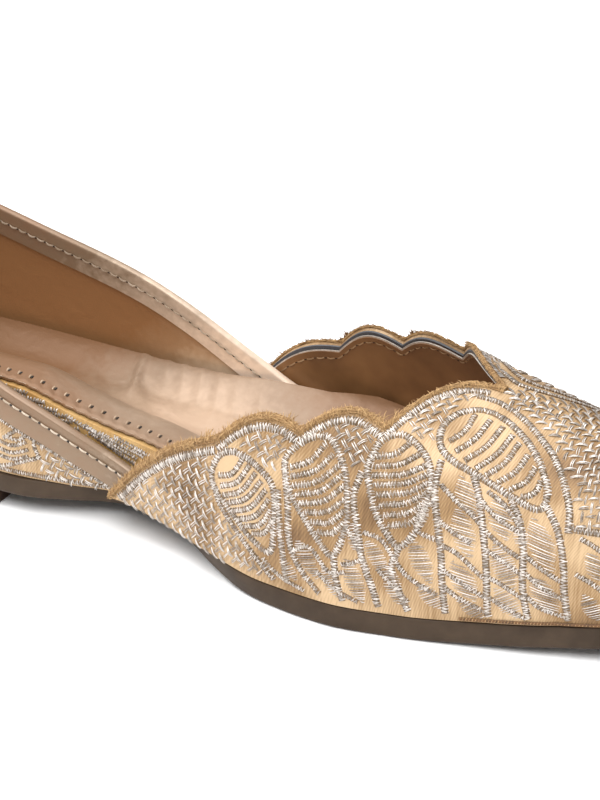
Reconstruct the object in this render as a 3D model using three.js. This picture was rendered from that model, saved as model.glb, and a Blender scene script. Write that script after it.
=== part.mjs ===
// A d'Orsay cut mojari, left foot: embroidered vamp with a scalloped throat, open waist,
// low quarter with a bound collar, wrapped footbed with a raised arch, leather sock,
// thin outsole and a low heel block. Millimetres; +X toe, +Y outer (lateral) side, +Z up.
// The origin is on the floor under the centre of the heel.
import * as THREE from 'three';

// ---- driving sizes --------------------------------------------------------------------
const HEEL_BACK = -28; // back of the heel seat
const HEEL_POLE = -5; // the heel walls lean towards the vertical above this x
const TOE_START = 192; // the toe cap's sections fan out from here
const TOE_POLE = 201; // crown of the toe cap
const TOE_TIP = 236; // front of the toe
const TOE_TAPER = 14; // how much the half width narrows along the toe cap
const TOE_BLUNT = 2.4; // power that rounds the tip
const TOE_FLAT = 0.45; // how much the walls hollow towards the tip
const TOE_Y = -1; // sideways place of the tip
const HEEL_BREAST = 50; // front face of the heel block

const GAP = 0.3; // between pieces that meet
const VAMP_IN = 0; // the wall offsets are measured outwards from the last
const VAMP_OUT = 1.8;
const QUARTER_IN = -3;
const QUARTER_OUT = -1.2;
const BIND_THICK = 0.6;
const BIND_WIDTH = 6.6;
const BED_SIDE_HEEL = -4.4; // footbed side, inside the quarter and its binding
const BED_SIDE_FORE = -0.7; // footbed side, inside the vamp
const SOCK_THICK = 1;
const SOCK_LIFT = 0.5; // a little more than the gap, over the arch's curve
const SOCK_INSET = 0.8;
const ARCH_BAND = 7.5; // width of the level band along the arch's crest
const RIM_RAMP = 11; // width over which the outer edge of the bed turns up
const SOLE_MARGIN = { heel: -0.4, waist: -3.2, fore: 1.9 }; // overhang of the sole's edge
const WAIST_UNDERCUT = 1.2; // how far the foot of the sole's side is cut back in the waist

// ---- the last, one row for each section -------------------------------------------------
// medial, lateral: half widths at the feather edge; tread, thick: underside of the sole and its
// thickness; ridgeY, ridge: place and height of the crown; bulge: swell of the wall
const LAST = [
  { x: -28, medial: 28.6, lateral: 28.4, tread: 4.4, thick: 4.8, ridgeY: 0.0, ridge: 97.0, bulge: 1.5 },
  { x: 0, medial: 28.6, lateral: 28.4, tread: 4.3, thick: 4.8, ridgeY: 0.0, ridge: 92.0, bulge: 1.5 },
  { x: 25, medial: 29.0, lateral: 28.2, tread: 4.2, thick: 4.8, ridgeY: 0.0, ridge: 84.0, bulge: 1.6 },
  { x: 53, medial: 28.8, lateral: 27.8, tread: 4.2, thick: 4.8, ridgeY: 0.0, ridge: 75.0, bulge: 1.6 },
  { x: 68, medial: 26.8, lateral: 27.6, tread: 4.2, thick: 4.8, ridgeY: 0.0, ridge: 70.0, bulge: 1.6 },
  { x: 81, medial: 24.3, lateral: 28.2, tread: 4.1, thick: 4.9, ridgeY: 0.0, ridge: 65.6, bulge: 2.0 },
  { x: 94, medial: 26.6, lateral: 30.2, tread: 3.0, thick: 5.1, ridgeY: 0.0, ridge: 62.0, bulge: 2.2 },
  { x: 110, medial: 31.4, lateral: 32.8, tread: 1.3, thick: 5.4, ridgeY: 0.0, ridge: 58.4, bulge: 2.0 },
  { x: 126, medial: 35.1, lateral: 34.5, tread: 0.0, thick: 5.6, ridgeY: -0.5, ridge: 55.2, bulge: 1.6 },
  { x: 142, medial: 36.3, lateral: 34.1, tread: 0.0, thick: 5.6, ridgeY: -1.0, ridge: 51.2, bulge: 1.4 },
  { x: 158, medial: 33.5, lateral: 31.9, tread: 0.0, thick: 5.6, ridgeY: -1.5, ridge: 47.7, bulge: 1.2 },
  { x: 176, medial: 28.7, lateral: 28.3, tread: 0.9, thick: 5.6, ridgeY: -1.5, ridge: 44.4, bulge: 1.0 },
  { x: 192, medial: 23.9, lateral: 24.3, tread: 2.2, thick: 5.6, ridgeY: -1.0, ridge: 41.2, bulge: 0.9 },
  { x: 236, medial: 0.0, lateral: 0.0, tread: 7.2, thick: 5.6, ridgeY: -1.0, ridge: 39.2, bulge: 0.4 },
];

// The footbed. bed: height of its top; arch, rim: how far its inner and outer edges rise above
const BED = [
  { x: -28, bed: 15.5, arch: 0, rim: 0 },
  { x: 0, bed: 15.0, arch: 7.5, rim: 1.5 },
  { x: 25, bed: 14.4, arch: 15.6, rim: 3.0 },
  { x: 53, bed: 13.6, arch: 16.7, rim: 4.0 },
  { x: 68, bed: 13.0, arch: 12.9, rim: 4.5 },
  { x: 81, bed: 12.6, arch: 9.6, rim: 5.0 },
  { x: 94, bed: 12.2, arch: 9.2, rim: 5.8 },
  { x: 110, bed: 11.8, arch: 7.2, rim: 5.6 },
  { x: 126, bed: 11.6, arch: 3.6, rim: 3.6 },
  { x: 142, bed: 11.2, arch: 1.6, rim: 1.6 },
  { x: 158, bed: 11.0, arch: 0.2, rim: 0.2 },
  { x: 176, bed: 10.8, arch: 0, rim: 0 },
  { x: 192, bed: 11.6, arch: 0, rim: 0 },
  { x: 236, bed: 15.8, arch: 0, rim: 0 },
];

// Top line of the quarter: height of the collar on each side
const COLLAR = [
  { x: -28, medial: 56.0, lateral: 56.0 },
  { x: -14, medial: 54.4, lateral: 54.8 },
  { x: 0, medial: 50.4, lateral: 51.8 },
  { x: 18, medial: 44.6, lateral: 48.3 },
  { x: 34, medial: 38.4, lateral: 44.8 },
  { x: 50, medial: 31.5, lateral: 41.4 },
  { x: 60, medial: 27.3, lateral: 38.6 },
  { x: 70, medial: 22.4, lateral: 34.4 },
  { x: 80, medial: 17.0, lateral: 28.4 },
  { x: 90, medial: 13.0, lateral: 21.6 },
  { x: 97, medial: 10.9, lateral: 17.0 },
  { x: 104, medial: 10.2, lateral: 13.6 },
  { x: 108, medial: 9.8, lateral: 11.5 },
];
const QUARTER_END = { medial: 98, lateral: 108 };
const BIND_END = { medial: 90, lateral: 105 };

// Scalloped throat edge: valleys by x and by the turn (degrees) up from the feather edge,
// each with the swell of the scallop in front of it; the last row is the throat's point
const THROAT = {
  medial: [
    { x: 79.5, turn: 0, swell: 3 },
    { x: 111, turn: 32, swell: 5.5 },
    { x: 131, turn: 45, swell: 6.5 },
    { x: 149, turn: 56.5, swell: 9 },
    { x: 167.5, turn: 90, swell: 0 },
  ],
  lateral: [
    { x: 83, turn: 0, swell: 5.5 },
    { x: 108, turn: 24.5, swell: 5.5 },
    { x: 125, turn: 34, swell: 5.5 },
    { x: 143, turn: 44.5, swell: 6 },
    { x: 167.5, turn: 90, swell: 0 },
  ],
};

// ---- how finely the curves are cut ------------------------------------------------------
const FAN_STEPS = 9;
const SCALLOP_STEPS = 7;
const CROWN_STEPS = 5;
const VAMP_ROWS = 11;
const QUARTER_ROWS = 6;
const SIDE_STEP = 7;
const BED_ROWS = 3;
const BED_COLUMNS = 14;

const MIRROR = { medial: -1, lateral: 1 };
const RAD = Math.PI / 180;

/** Smooth value of a table's column at x, with no overshoot between the rows. */
function column(table, name, x) {
  const last = table.length - 1;
  const at = Math.min(Math.max(x, table[0].x), table[last].x);
  let i = 0;
  while (i < last - 1 && table[i + 1].x < at) i += 1;
  const slope = (k) => (table[k + 1][name] - table[k][name]) / (table[k + 1].x - table[k].x);
  const tangent = (k) => {
    if (k === 0) return slope(0);
    if (k === last) return slope(last - 1);
    const before = slope(k - 1);
    const after = slope(k);
    return before * after <= 0 ? 0 : (2 * before * after) / (before + after);
  };
  const span = table[i + 1].x - table[i].x;
  const t = (at - table[i].x) / span;
  const rise = table[i + 1][name] - table[i][name];
  const bend = span * (tangent(i) * t * (1 - t) ** 2 - tangent(i + 1) * t * t * (1 - t));
  return table[i][name] + rise * t * t * (3 - 2 * t) + bend;
}

/** Height of the feather edge, where the upper stands on the sole. */
function featherHeight(x) {
  return soleTop(x) + GAP;
}

/** Foot and crown of the wall at a station: an x, or a fan angle at heel or toe. */
function station(side, x) {
  const sign = MIRROR[side];
  if (x < 0) {
    const u = x / HEEL_BACK;
    const half = column(LAST, side, 0) * Math.sqrt(Math.max(0, 1 - u * u));
    return { x, y: sign * half, crownX: HEEL_POLE * u, crownY: 0 };
  }
  if (x <= TOE_START) {
    const crownY = column(LAST, 'ridgeY', x);
    return { x, y: sign * column(LAST, side, x), crownX: x, crownY };
  }
  const u = (x - TOE_START) / (TOE_TIP - TOE_START);
  const round = Math.sqrt(Math.max(0, 1 - u ** TOE_BLUNT));
  const half = (column(LAST, side, TOE_START) - TOE_TAPER * u) * round;
  const crownX = TOE_START + (TOE_POLE - TOE_START) * u;
  return { x, y: TOE_Y * u + sign * half, crownX, crownY: TOE_Y };
}

/** Point on the last, offset outwards, at a turn in radians from feather edge to crown. */
function wallPoint(side, x, turn, offset) {
  const foot = station(side, x);
  const base = featherHeight(x);
  const alongX = foot.x - foot.crownX;
  const alongY = foot.y - foot.crownY;
  const length = Math.hypot(alongX, alongY);
  const swell = column(LAST, 'bulge', x) * Math.sin(2 * turn);
  const reach = ((length + offset) * Math.cos(turn) + swell) / length;
  const flat = 1 + TOE_FLAT * Math.max(0, (x - TOE_START) / (TOE_TIP - TOE_START));
  const rise = (column(LAST, 'ridge', x) - base + offset) * Math.sin(turn) ** flat;
  return new THREE.Vector3(foot.crownX + alongX * reach, foot.crownY + alongY * reach, base + rise);
}

/** Turn at which the wall reaches a height. */
function turnAt(x, height, offset) {
  const base = featherHeight(x);
  const flat = 1 + TOE_FLAT * Math.max(0, (x - TOE_START) / (TOE_TIP - TOE_START));
  const ratio = (height - base) / (column(LAST, 'ridge', x) - base + offset);
  return Math.asin(Math.min(Math.max(ratio, 0), 1) ** (1 / flat));
}

/** Stations from back to front: a heel fan, even steps, and a toe fan, within two ends. */
function stations(from, to) {
  const list = [];
  for (let i = 0; i < FAN_STEPS; i += 1) {
    list.push(HEEL_BACK * Math.cos((i * 90 * RAD) / FAN_STEPS));
  }
  const steps = Math.round(TOE_START / SIDE_STEP);
  for (let i = 0; i <= steps; i += 1) list.push((TOE_START * i) / steps);
  for (let i = 1; i <= FAN_STEPS; i += 1) {
    list.push(TOE_START + (TOE_TIP - TOE_START) * Math.sin((i * 90 * RAD) / FAN_STEPS));
  }
  const inside = list.filter((x) => x > from + 1 && x < to - 1);
  return [from, ...inside, to];
}

/** Gathers triangles, welds their corners and gives a closed geometry facing outwards. */
class Solid {
  constructor() {
    this.keys = new Map();
    this.points = [];
    this.faces = [];
  }

  corner(point) {
    const key = [point.x, point.y, point.z].map((value) => Math.round(value * 1e4)).join();
    if (!this.keys.has(key)) {
      this.keys.set(key, this.points.length);
      this.points.push(point);
    }
    return this.keys.get(key);
  }

  triangle(a, b, c) {
    const face = [this.corner(a), this.corner(b), this.corner(c)];
    if (new Set(face).size === 3) this.faces.push(face);
  }

  /** Quads between neighbouring rows of points. */
  patch(rows, flipped = false) {
    for (let i = 0; i + 1 < rows.length; i += 1) {
      for (let j = 0; j + 1 < rows[i].length; j += 1) {
        const [a, b, c, d] = [rows[i][j], rows[i + 1][j], rows[i + 1][j + 1], rows[i][j + 1]];
        const quad = flipped ? [a, d, c, b] : [a, b, c, d];
        this.triangle(quad[0], quad[1], quad[2]);
        this.triangle(quad[0], quad[2], quad[3]);
      }
    }
  }

  geometry() {
    const volume = this.faces.reduce((sum, [a, b, c]) => {
      const cross = new THREE.Vector3().crossVectors(this.points[b], this.points[c]);
      return sum + this.points[a].dot(cross);
    }, 0);
    const order = this.faces.map(([a, b, c]) => (volume > 0 ? [a, b, c] : [a, c, b]));
    const geometry = new THREE.BufferGeometry();
    const positions = this.points.flatMap((point) => point.toArray());
    geometry.setAttribute('position', new THREE.Float32BufferAttribute(positions, 3));
    geometry.setIndex(order.flat());
    geometry.computeVertexNormals();
    return geometry;
  }
}

/** Rings of equal length, joined in turn; the first and last have closing faces. */
function loft(rings) {
  const solid = new Solid();
  solid.patch(rings.map((ring) => [...ring, ring[0]]));
  for (const [ring, flipped] of [[rings[0], true], [rings[rings.length - 1], false]]) {
    const half = Math.ceil(ring.length / 2);
    const front = ring.slice(0, half);
    const back = ring.slice(half).reverse();
    while (back.length < front.length) back.push(back[back.length - 1]);
    solid.patch([front, back], flipped);
  }
  return solid.geometry();
}

/** The wall between two offsets, over columns that each run from feather edge to top. */
function wall(columns, rows, inner, outer, freeTop) {
  const solid = new Solid();
  const line = (col, offset) => Array.from({ length: rows + 1 }, (_, j) => (
    wallPoint(col.side, col.x, (col.top * j) / rows, offset)));
  const outside = columns.map((col) => line(col, outer));
  const inside = columns.map((col) => line(col, inner));
  solid.patch(outside);
  solid.patch(inside, true);
  solid.patch([outside.map((row) => row[0]), inside.map((row) => row[0])]);
  const open = columns.map((col) => freeTop(col));
  for (let i = 0; i + 1 < columns.length; i += 1) {
    if (open[i] && open[i + 1]) {
      const rim = [outside, inside].map((grid) => [grid[i][rows], grid[i + 1][rows]]);
      solid.patch(rim, true);
    }
  }
  return solid.geometry();
}

/** Columns of one half of the vamp, from its wing's tip to the tip of the toe. */
function vampColumns(side) {
  const columns = [];
  const valleys = THROAT[side];
  for (let k = 0; k + 1 < valleys.length; k += 1) {
    const [here, next] = [valleys[k], valleys[k + 1]];
    for (let i = 0; i < SCALLOP_STEPS; i += 1) {
      const t = i / SCALLOP_STEPS;
      const x = here.x + (next.x - here.x) * t;
      const turn = here.turn + (next.turn - here.turn) * t + here.swell * Math.sin(Math.PI * t);
      columns.push({ side, x, top: Math.min(turn, 90) * RAD });
    }
  }
  const apex = valleys[valleys.length - 1].x;
  for (let i = 0; i < CROWN_STEPS; i += 1) {
    const x = apex + ((TOE_START - apex) * i) / CROWN_STEPS;
    columns.push({ side, x, top: 90 * RAD });
  }
  for (let i = 0; i <= FAN_STEPS; i += 1) {
    const x = TOE_START + (TOE_TIP - TOE_START) * Math.sin((i * 90 * RAD) / FAN_STEPS);
    columns.push({ side, x, top: 90 * RAD });
  }
  return columns;
}

/** The vamp: one hollow wall, open at the throat and underneath. */
function vamp() {
  const medial = vampColumns('medial');
  const lateral = vampColumns('lateral').reverse();
  const apex = THROAT.medial[THROAT.medial.length - 1].x;
  return wall([...medial, ...lateral], VAMP_ROWS, VAMP_IN, VAMP_OUT, (col) => col.x <= apex);
}

/** Path of the quarter: forward on the inner side, round the heel, and the outer side. */
function quarterPath(ends) {
  const medial = stations(HEEL_BACK, ends.medial).map((x) => ({ side: 'medial', x }));
  const lateral = stations(HEEL_BACK, ends.lateral).map((x) => ({ side: 'lateral', x }));
  return [...medial.reverse(), ...lateral.slice(1)];
}

/** The quarter: one wall round the heel, open at the collar and underneath. */
function quarter() {
  const columns = quarterPath(QUARTER_END).map(({ side, x }) => {
    const ended = x >= QUARTER_END[side];
    const top = ended ? 0 : turnAt(x, column(COLLAR, side, x), QUARTER_OUT);
    return { side, x, top };
  });
  return wall(columns, QUARTER_ROWS, QUARTER_IN, QUARTER_OUT, () => true);
}

/** Section of the binding: a channel folded over the top line of the quarter. */
function bindingRing({ side, x }) {
  const collar = column(COLLAR, side, x);
  const low = Math.max(collar - BIND_WIDTH, featherHeight(x) + 2 * GAP);
  const top = collar + GAP;
  const at = (height, offset) => wallPoint(side, x, turnAt(x, height, offset), offset);
  const outer = QUARTER_OUT + GAP;
  const inner = QUARTER_IN - GAP;
  const outside = [
    at(low, outer + BIND_THICK),
    at(top, outer + BIND_THICK),
    at(top + BIND_THICK, outer),
    at(top + BIND_THICK, inner),
    at(top, inner - BIND_THICK),
    at(low, inner - BIND_THICK),
  ];
  const inside = [at(low, inner), at(top, inner), at(top, outer), at(low, outer)];
  return { outside, inside };
}

/** The collar binding, ended under the vamp's wings. */
function collarBinding() {
  const rings = quarterPath(BIND_END).map(bindingRing);
  const solid = new Solid();
  solid.patch(rings.map(({ outside, inside }) => [...outside, ...inside, outside[0]]));
  const ends = [[rings[0], true], [rings[rings.length - 1], false]];
  for (const [{ outside, inside }, flipped] of ends) {
    const [a, b, c, d, e, f] = outside;
    const [g, h, i, j] = inside;
    solid.patch([[a, b, c], [j, i, i]], flipped);
    solid.patch([[c, d], [i, h]], flipped);
    solid.patch([[d, e, f], [h, h, g]], flipped);
  }
  return solid.geometry();
}

/** How far the footbed's side stands from the last. */
function bedSide(x) {
  const t = Math.min(Math.max((x - 108) / 10, 0), 1);
  return BED_SIDE_HEEL + (BED_SIDE_FORE - BED_SIDE_HEEL) * t;
}

/** Top of the footbed at a share of its width, from the inner edge to the outer. */
function bedTop(x, share, width) {
  const arch = column(BED, 'arch', x);
  const ramp = 1.3 * arch + 6;
  const down = Math.min(Math.max((share * width - ARCH_BAND) / ramp, 0), 1);
  const up = Math.min(Math.max(((share - 1) * width + RIM_RAMP) / RIM_RAMP, 0), 1);
  const crest = (arch * (1 + Math.cos(Math.PI * down))) / 2;
  const turned = (column(BED, 'rim', x) * (1 - Math.cos(Math.PI * up))) / 2;
  return column(BED, 'bed', x) + crest + turned;
}

/** Points across the footbed at a station, from one edge to the other, raised by a lift. */
function bedLine(x, inset, lift) {
  const offset = bedSide(x);
  const edge = (side, share) => {
    const guess = wallPoint(side, x, 0, offset);
    const other = wallPoint(side === 'medial' ? 'lateral' : 'medial', x, 0, offset);
    const width = guess.distanceTo(other);
    const height = bedTop(x, share, width);
    return { point: wallPoint(side, x, turnAt(x, height, offset), offset), width };
  };
  const { point: inner, width } = edge('medial', 0);
  const { point: outer } = edge('lateral', 1);
  const trim = inset > 0 ? Math.min(inset / Math.max(width, 2 * inset), 0.5) : 0;
  return Array.from({ length: BED_COLUMNS + 1 }, (_, i) => {
    const share = trim + (1 - 2 * trim) * (i / BED_COLUMNS);
    const point = new THREE.Vector3().lerpVectors(inner, outer, share);
    point.z = bedTop(x, share, width) + lift;
    return point;
  });
}

/** The footbed: a cushion that fills the shoe's bottom and rises along the arch. */
function footbed() {
  const rings = stations(HEEL_BACK, TOE_TIP).map((x) => {
    const top = bedLine(x, 0, 0);
    const offset = bedSide(x);
    const flank = (side, height) => Array.from({ length: BED_ROWS }, (_, j) => {
      const base = featherHeight(x);
      const level = base + ((height - base) * j) / BED_ROWS;
      return wallPoint(side, x, turnAt(x, level, offset), offset);
    });
    const inner = flank('medial', top[0].z);
    const outer = flank('lateral', top[BED_COLUMNS].z).reverse();
    return [...inner, ...top, ...outer];
  });
  return loft(rings);
}

/** The sock: the leather cover on the footbed, cut a little smaller all round. */
function sock() {
  const rings = stations(HEEL_BACK + 2, TOE_START).map((x) => {
    const under = bedLine(x, SOCK_INSET, SOCK_LIFT);
    const over = under.map((point) => point.clone().setZ(point.z + SOCK_THICK));
    return [...under, ...over.reverse()];
  });
  return loft(rings);
}

/** A slab under the upper, between two heights that depend on x, with a bevelled side. */
function slab(from, to, margin, bottom, top, bevel, undercut) {
  const rings = stations(from, to).map((x) => {
    const edge = (side, inset, z) => {
      const foot = station(side, x);
      const back = x < 0 ? foot.x - HEEL_POLE * (x / HEEL_BACK) : 0;
      const alongX = x > TOE_START ? foot.x - foot.crownX : back;
      const alongY = foot.y - foot.crownY;
      const length = Math.hypot(alongX, alongY);
      const reach = (length + margin(x) - inset) / length;
      const originX = foot.x - alongX;
      return new THREE.Vector3(originX + alongX * reach, foot.crownY + alongY * reach, z);
    };
    const [low, high, cut] = [bottom(x), top(x), undercut(x)];
    return [
      edge('medial', bevel + cut, low),
      edge('medial', 0.8 * cut, low + bevel),
      edge('medial', 0, high),
      edge('lateral', 0, high),
      edge('lateral', 0.8 * cut, low + bevel),
      edge('lateral', bevel + cut, low),
    ];
  });
  return loft(rings);
}

/** A soft step from 0 to 1, over the values from 0 to 1. */
function ease(value) {
  const t = Math.min(Math.max(value, 0), 1);
  return t * t * (3 - 2 * t);
}

/** Overhang of the sole's edge: tucked under the upper in the waist, standing out in front. */
function soleMargin(x) {
  const tuck = (SOLE_MARGIN.waist - SOLE_MARGIN.heel) * ease((x - 56) / 24);
  return SOLE_MARGIN.heel + tuck + (SOLE_MARGIN.fore - SOLE_MARGIN.waist) * ease((x - 94) / 26);
}

/** How far the foot of the sole's side is cut back: only between the heel block and the ball. */
function soleUndercut(x) {
  return WAIST_UNDERCUT * (ease((x - 56) / 22) - ease((x - 112) / 24));
}

function soleTop(x) {
  return column(LAST, 'tread', x) + column(LAST, 'thick', x);
}

function outsole() {
  const tread = (x) => column(LAST, 'tread', x);
  return slab(HEEL_BACK, TOE_TIP, soleMargin, tread, soleTop, 0.9, soleUndercut);
}

function heelBlock() {
  const seat = (x) => column(LAST, 'tread', x) - GAP;
  return slab(HEEL_BACK, HEEL_BREAST, () => -1.2, () => 0, seat, 0.6, () => 0);
}

function piece(name, geometry, color, roughness, metalness) {
  const material = new THREE.MeshStandardMaterial({ color, roughness, metalness });
  const mesh = new THREE.Mesh(geometry, material);
  mesh.name = name;
  return mesh;
}

const shoe = new THREE.Group();
shoe.add(
  piece('outsole', outsole(), 0x6a5745, 0.6, 0),
  piece('heel_block', heelBlock(), 0x6d4a38, 0.6, 0),
  piece('footbed', footbed(), 0xc49a5c, 0.7, 0),
  piece('sock', sock(), 0xcab09a, 0.45, 0.2),
  piece('quarter', quarter(), 0xc8a36c, 0.6, 0.1),
  piece('collar_binding', collarBinding(), 0xb59c88, 0.4, 0.3),
  piece('vamp', vamp(), 0xcfa970, 0.55, 0.2),
);

export default shoe;
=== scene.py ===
"""Left mojari flat: embroidered satin vamp, bound open collar, foil leather sock.

Sizes are in millimetres, in the frame of the shoe: +X to the toe, +Y to the outer side,
+Z up. Meshes are written in metres. The upper follows one last, which is charted by an
x and a turn in degrees: 0 at the inner feather edge, 90 on the ridge, 180 at the outer
feather edge.
"""

import logging
import math
from dataclasses import dataclass, field
from enum import Enum
from typing import Callable, Sequence

import bmesh
import bpy
import numpy as np
from mathutils import Matrix, Vector


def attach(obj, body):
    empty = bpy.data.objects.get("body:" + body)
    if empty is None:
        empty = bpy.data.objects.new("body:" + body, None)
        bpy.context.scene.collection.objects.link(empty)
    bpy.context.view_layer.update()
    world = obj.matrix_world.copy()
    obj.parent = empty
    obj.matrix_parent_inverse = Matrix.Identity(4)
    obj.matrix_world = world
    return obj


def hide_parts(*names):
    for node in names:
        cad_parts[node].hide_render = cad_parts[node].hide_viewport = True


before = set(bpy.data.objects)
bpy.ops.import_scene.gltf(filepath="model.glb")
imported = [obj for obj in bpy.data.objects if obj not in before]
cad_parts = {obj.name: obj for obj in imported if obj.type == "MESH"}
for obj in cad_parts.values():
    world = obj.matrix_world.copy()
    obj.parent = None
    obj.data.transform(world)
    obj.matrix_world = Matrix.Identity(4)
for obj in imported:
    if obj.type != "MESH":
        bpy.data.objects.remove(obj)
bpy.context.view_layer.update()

LOG = logging.getLogger("mojari")
MM = 0.001
ROOT = "root"
Array = np.ndarray
Settings = dict[str, object]


# ---------------------------------------------------------------- colours and nodes


def linear(code: str) -> tuple[float, float, float, float]:
    """Turn an sRGB hex colour, such as #FFFFFF, into linear red, green, blue and alpha."""
    parts = [int(code[i : i + 2], 16) / 255 for i in (1, 3, 5)]
    flat = [c / 12.92 if c <= 0.04045 else ((c + 0.055) / 1.055) ** 2.4 for c in parts]
    return (flat[0], flat[1], flat[2], 1.0)


def add(tree: bpy.types.NodeTree, kind: str, inputs: Settings, **settings: object) -> bpy.types.Node:
    """Add a node with its settings, its values and its links.

    Args:
        tree: the material's node tree.
        kind: the node's type after "ShaderNode".
        inputs: socket name or index to a value, or to the socket that feeds it.
        **settings: the node's own properties; "stops" are a colour band's places and hex colours.

    Returns:
        The new node.
    """
    made = tree.nodes.new("ShaderNode" + kind)
    for number, (place, code) in enumerate(settings.pop("stops", ())):
        band = made.color_ramp.elements
        element = band[number] if number < len(band) else band.new(place)
        element.position = place
        element.color = linear(code)
    for name, value in settings.items():
        setattr(made, name, value)
    for name, value in inputs.items():
        if isinstance(value, bpy.types.NodeSocket):
            tree.links.new(value, made.inputs[name])
        else:
            made.inputs[name].default_value = value
    return made


def new_material(name: str) -> tuple[bpy.types.Material, bpy.types.NodeTree, bpy.types.Node]:
    """An empty material of this name, its tree and its Principled shader."""
    material = bpy.data.materials.new(name)
    material.use_nodes = True
    tree = material.node_tree
    return material, tree, tree.nodes["Principled BSDF"]


def dress(
    tree: bpy.types.NodeTree,
    shader: bpy.types.Node,
    colour: bpy.types.Node,
    relief: bpy.types.Node | None,
    values: Settings,
) -> None:
    """Feed the shader its colour and relief and set its even values.

    Args:
        tree: the material's node tree.
        shader: its Principled shader.
        colour: the colour band.
        relief: the last bump, or none.
        values: socket names to even values.
    """
    tree.links.new(colour.outputs["Color"], shader.inputs["Base Color"])
    if relief:
        tree.links.new(relief.outputs[0], shader.inputs["Normal"])
    for name, value in values.items():
        shader.inputs[name].default_value = value


def per_mm(size_mm: float) -> float:
    """Texture scale at which one cell is a size in millimetres, on coordinates in metres."""
    return 1.0 / (size_mm * MM)


# ---------------------------------------------------------------- finishes


@dataclass(frozen=True)
class GoldSatin:
    """Woven polyester satin, calendered: long floats give a soft directional sheen."""

    name: str = "gold_satin"
    shade: str = "#66492C"
    middle: str = "#96764F"
    light: str = "#CAAC86"
    yarn_mm: float = 0.42  # real floats are 0.2 mm apart, drawn coarser so that they show

    def make(self) -> bpy.types.Material:
        """The woven satin as a material."""
        material, tree, shader = new_material(self.name)
        lay = add(tree, "Attribute", {}, attribute_name="lay", attribute_type="GEOMETRY")
        place = add(tree, "TexCoord", {})
        # slubs: a float is a few millimetres long and a yarn wide
        stretch = add(
            tree, "Mapping", {"Vector": lay.outputs["Vector"], "Scale": (1 / self.yarn_mm, 0.22, 1)}
        )
        slub = add(tree, "TexNoise", {"Vector": stretch.outputs[0], "Scale": 1.0, "Detail": 2.0})
        turn = add(tree, "Mapping", {"Vector": lay.outputs["Vector"], "Rotation": (0, 0, math.radians(58))})
        # the twill line of the weave, one yarn apart
        twill_scale = {"Scale": 0.31 / self.yarn_mm, "Distortion": 1.2, "Detail": 1.0, "Detail Scale": 1.6}
        twill = add(tree, "TexWave", {"Vector": turn.outputs[0], **twill_scale})
        # the cloth's shade drifts over a couple of centimetres
        cloud = add(
            tree, "TexNoise", {"Vector": place.outputs["Object"], "Scale": per_mm(18.0), "Detail": 2.0}
        )
        weave = add(
            tree, "Math", {0: twill.outputs["Fac"], 1: 0.25, 2: slub.outputs["Fac"]},
            operation="MULTIPLY_ADD",
        )
        part = add(tree, "Math", {0: weave.outputs[0], 1: 0.3}, operation="MULTIPLY")
        mixed = add(
            tree, "Math", {0: cloud.outputs["Fac"], 1: 1.0, 2: part.outputs[0]}, operation="MULTIPLY_ADD"
        )
        stops = [(0.42, self.shade), (0.62, self.middle), (0.84, self.light)]
        colour = add(tree, "ValToRGB", {"Fac": mixed.outputs[0]}, stops=stops)
        bump = add(tree, "Bump", {"Height": weave.outputs[0], "Strength": 0.4, "Distance": 0.06 * MM})
        sheen = {"Sheen Weight": 0.1, "Sheen Roughness": 0.4, "Sheen Tint": linear("#FFE6BE")}
        dress(tree, shader, colour, bump, {"Roughness": 0.58, "Metallic": 0.12, **sheen})
        return material


@dataclass(frozen=True)
class SilverThread:
    """Metallised polyester embroidery thread: each stitch painted lighter or darker, as if catching the
    light.
    """

    dark: str = "#857A70"
    middle: str = "#B0A69C"
    light: str = "#DDD5CE"

    def make(self) -> bpy.types.Material:
        """The thread as a material."""
        material, tree, shader = new_material("silver_thread")
        stitch = add(tree, "NewGeometry", {})
        place = add(tree, "TexCoord", {})
        # painted glints: the colour brightens every half millimetre, where the foil wound round the core
        # catches the light
        glint = add(
            tree, "TexNoise", {"Vector": place.outputs["Object"], "Scale": per_mm(0.5), "Detail": 1.0}
        )
        mixed = add(
            tree, "Math", {0: stitch.outputs["Random Per Island"], 1: glint.outputs["Fac"]}, operation="ADD"
        )
        half = add(tree, "Math", {0: mixed.outputs[0], 1: 0.5}, operation="MULTIPLY")
        stops = [(0.24, self.dark), (0.45, self.middle), (0.68, self.light)]
        colour = add(tree, "ValToRGB", {"Fac": half.outputs[0]}, stops=stops)
        dress(tree, shader, colour, None, {"Metallic": 0.7, "Roughness": 0.36})
        return material


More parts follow.
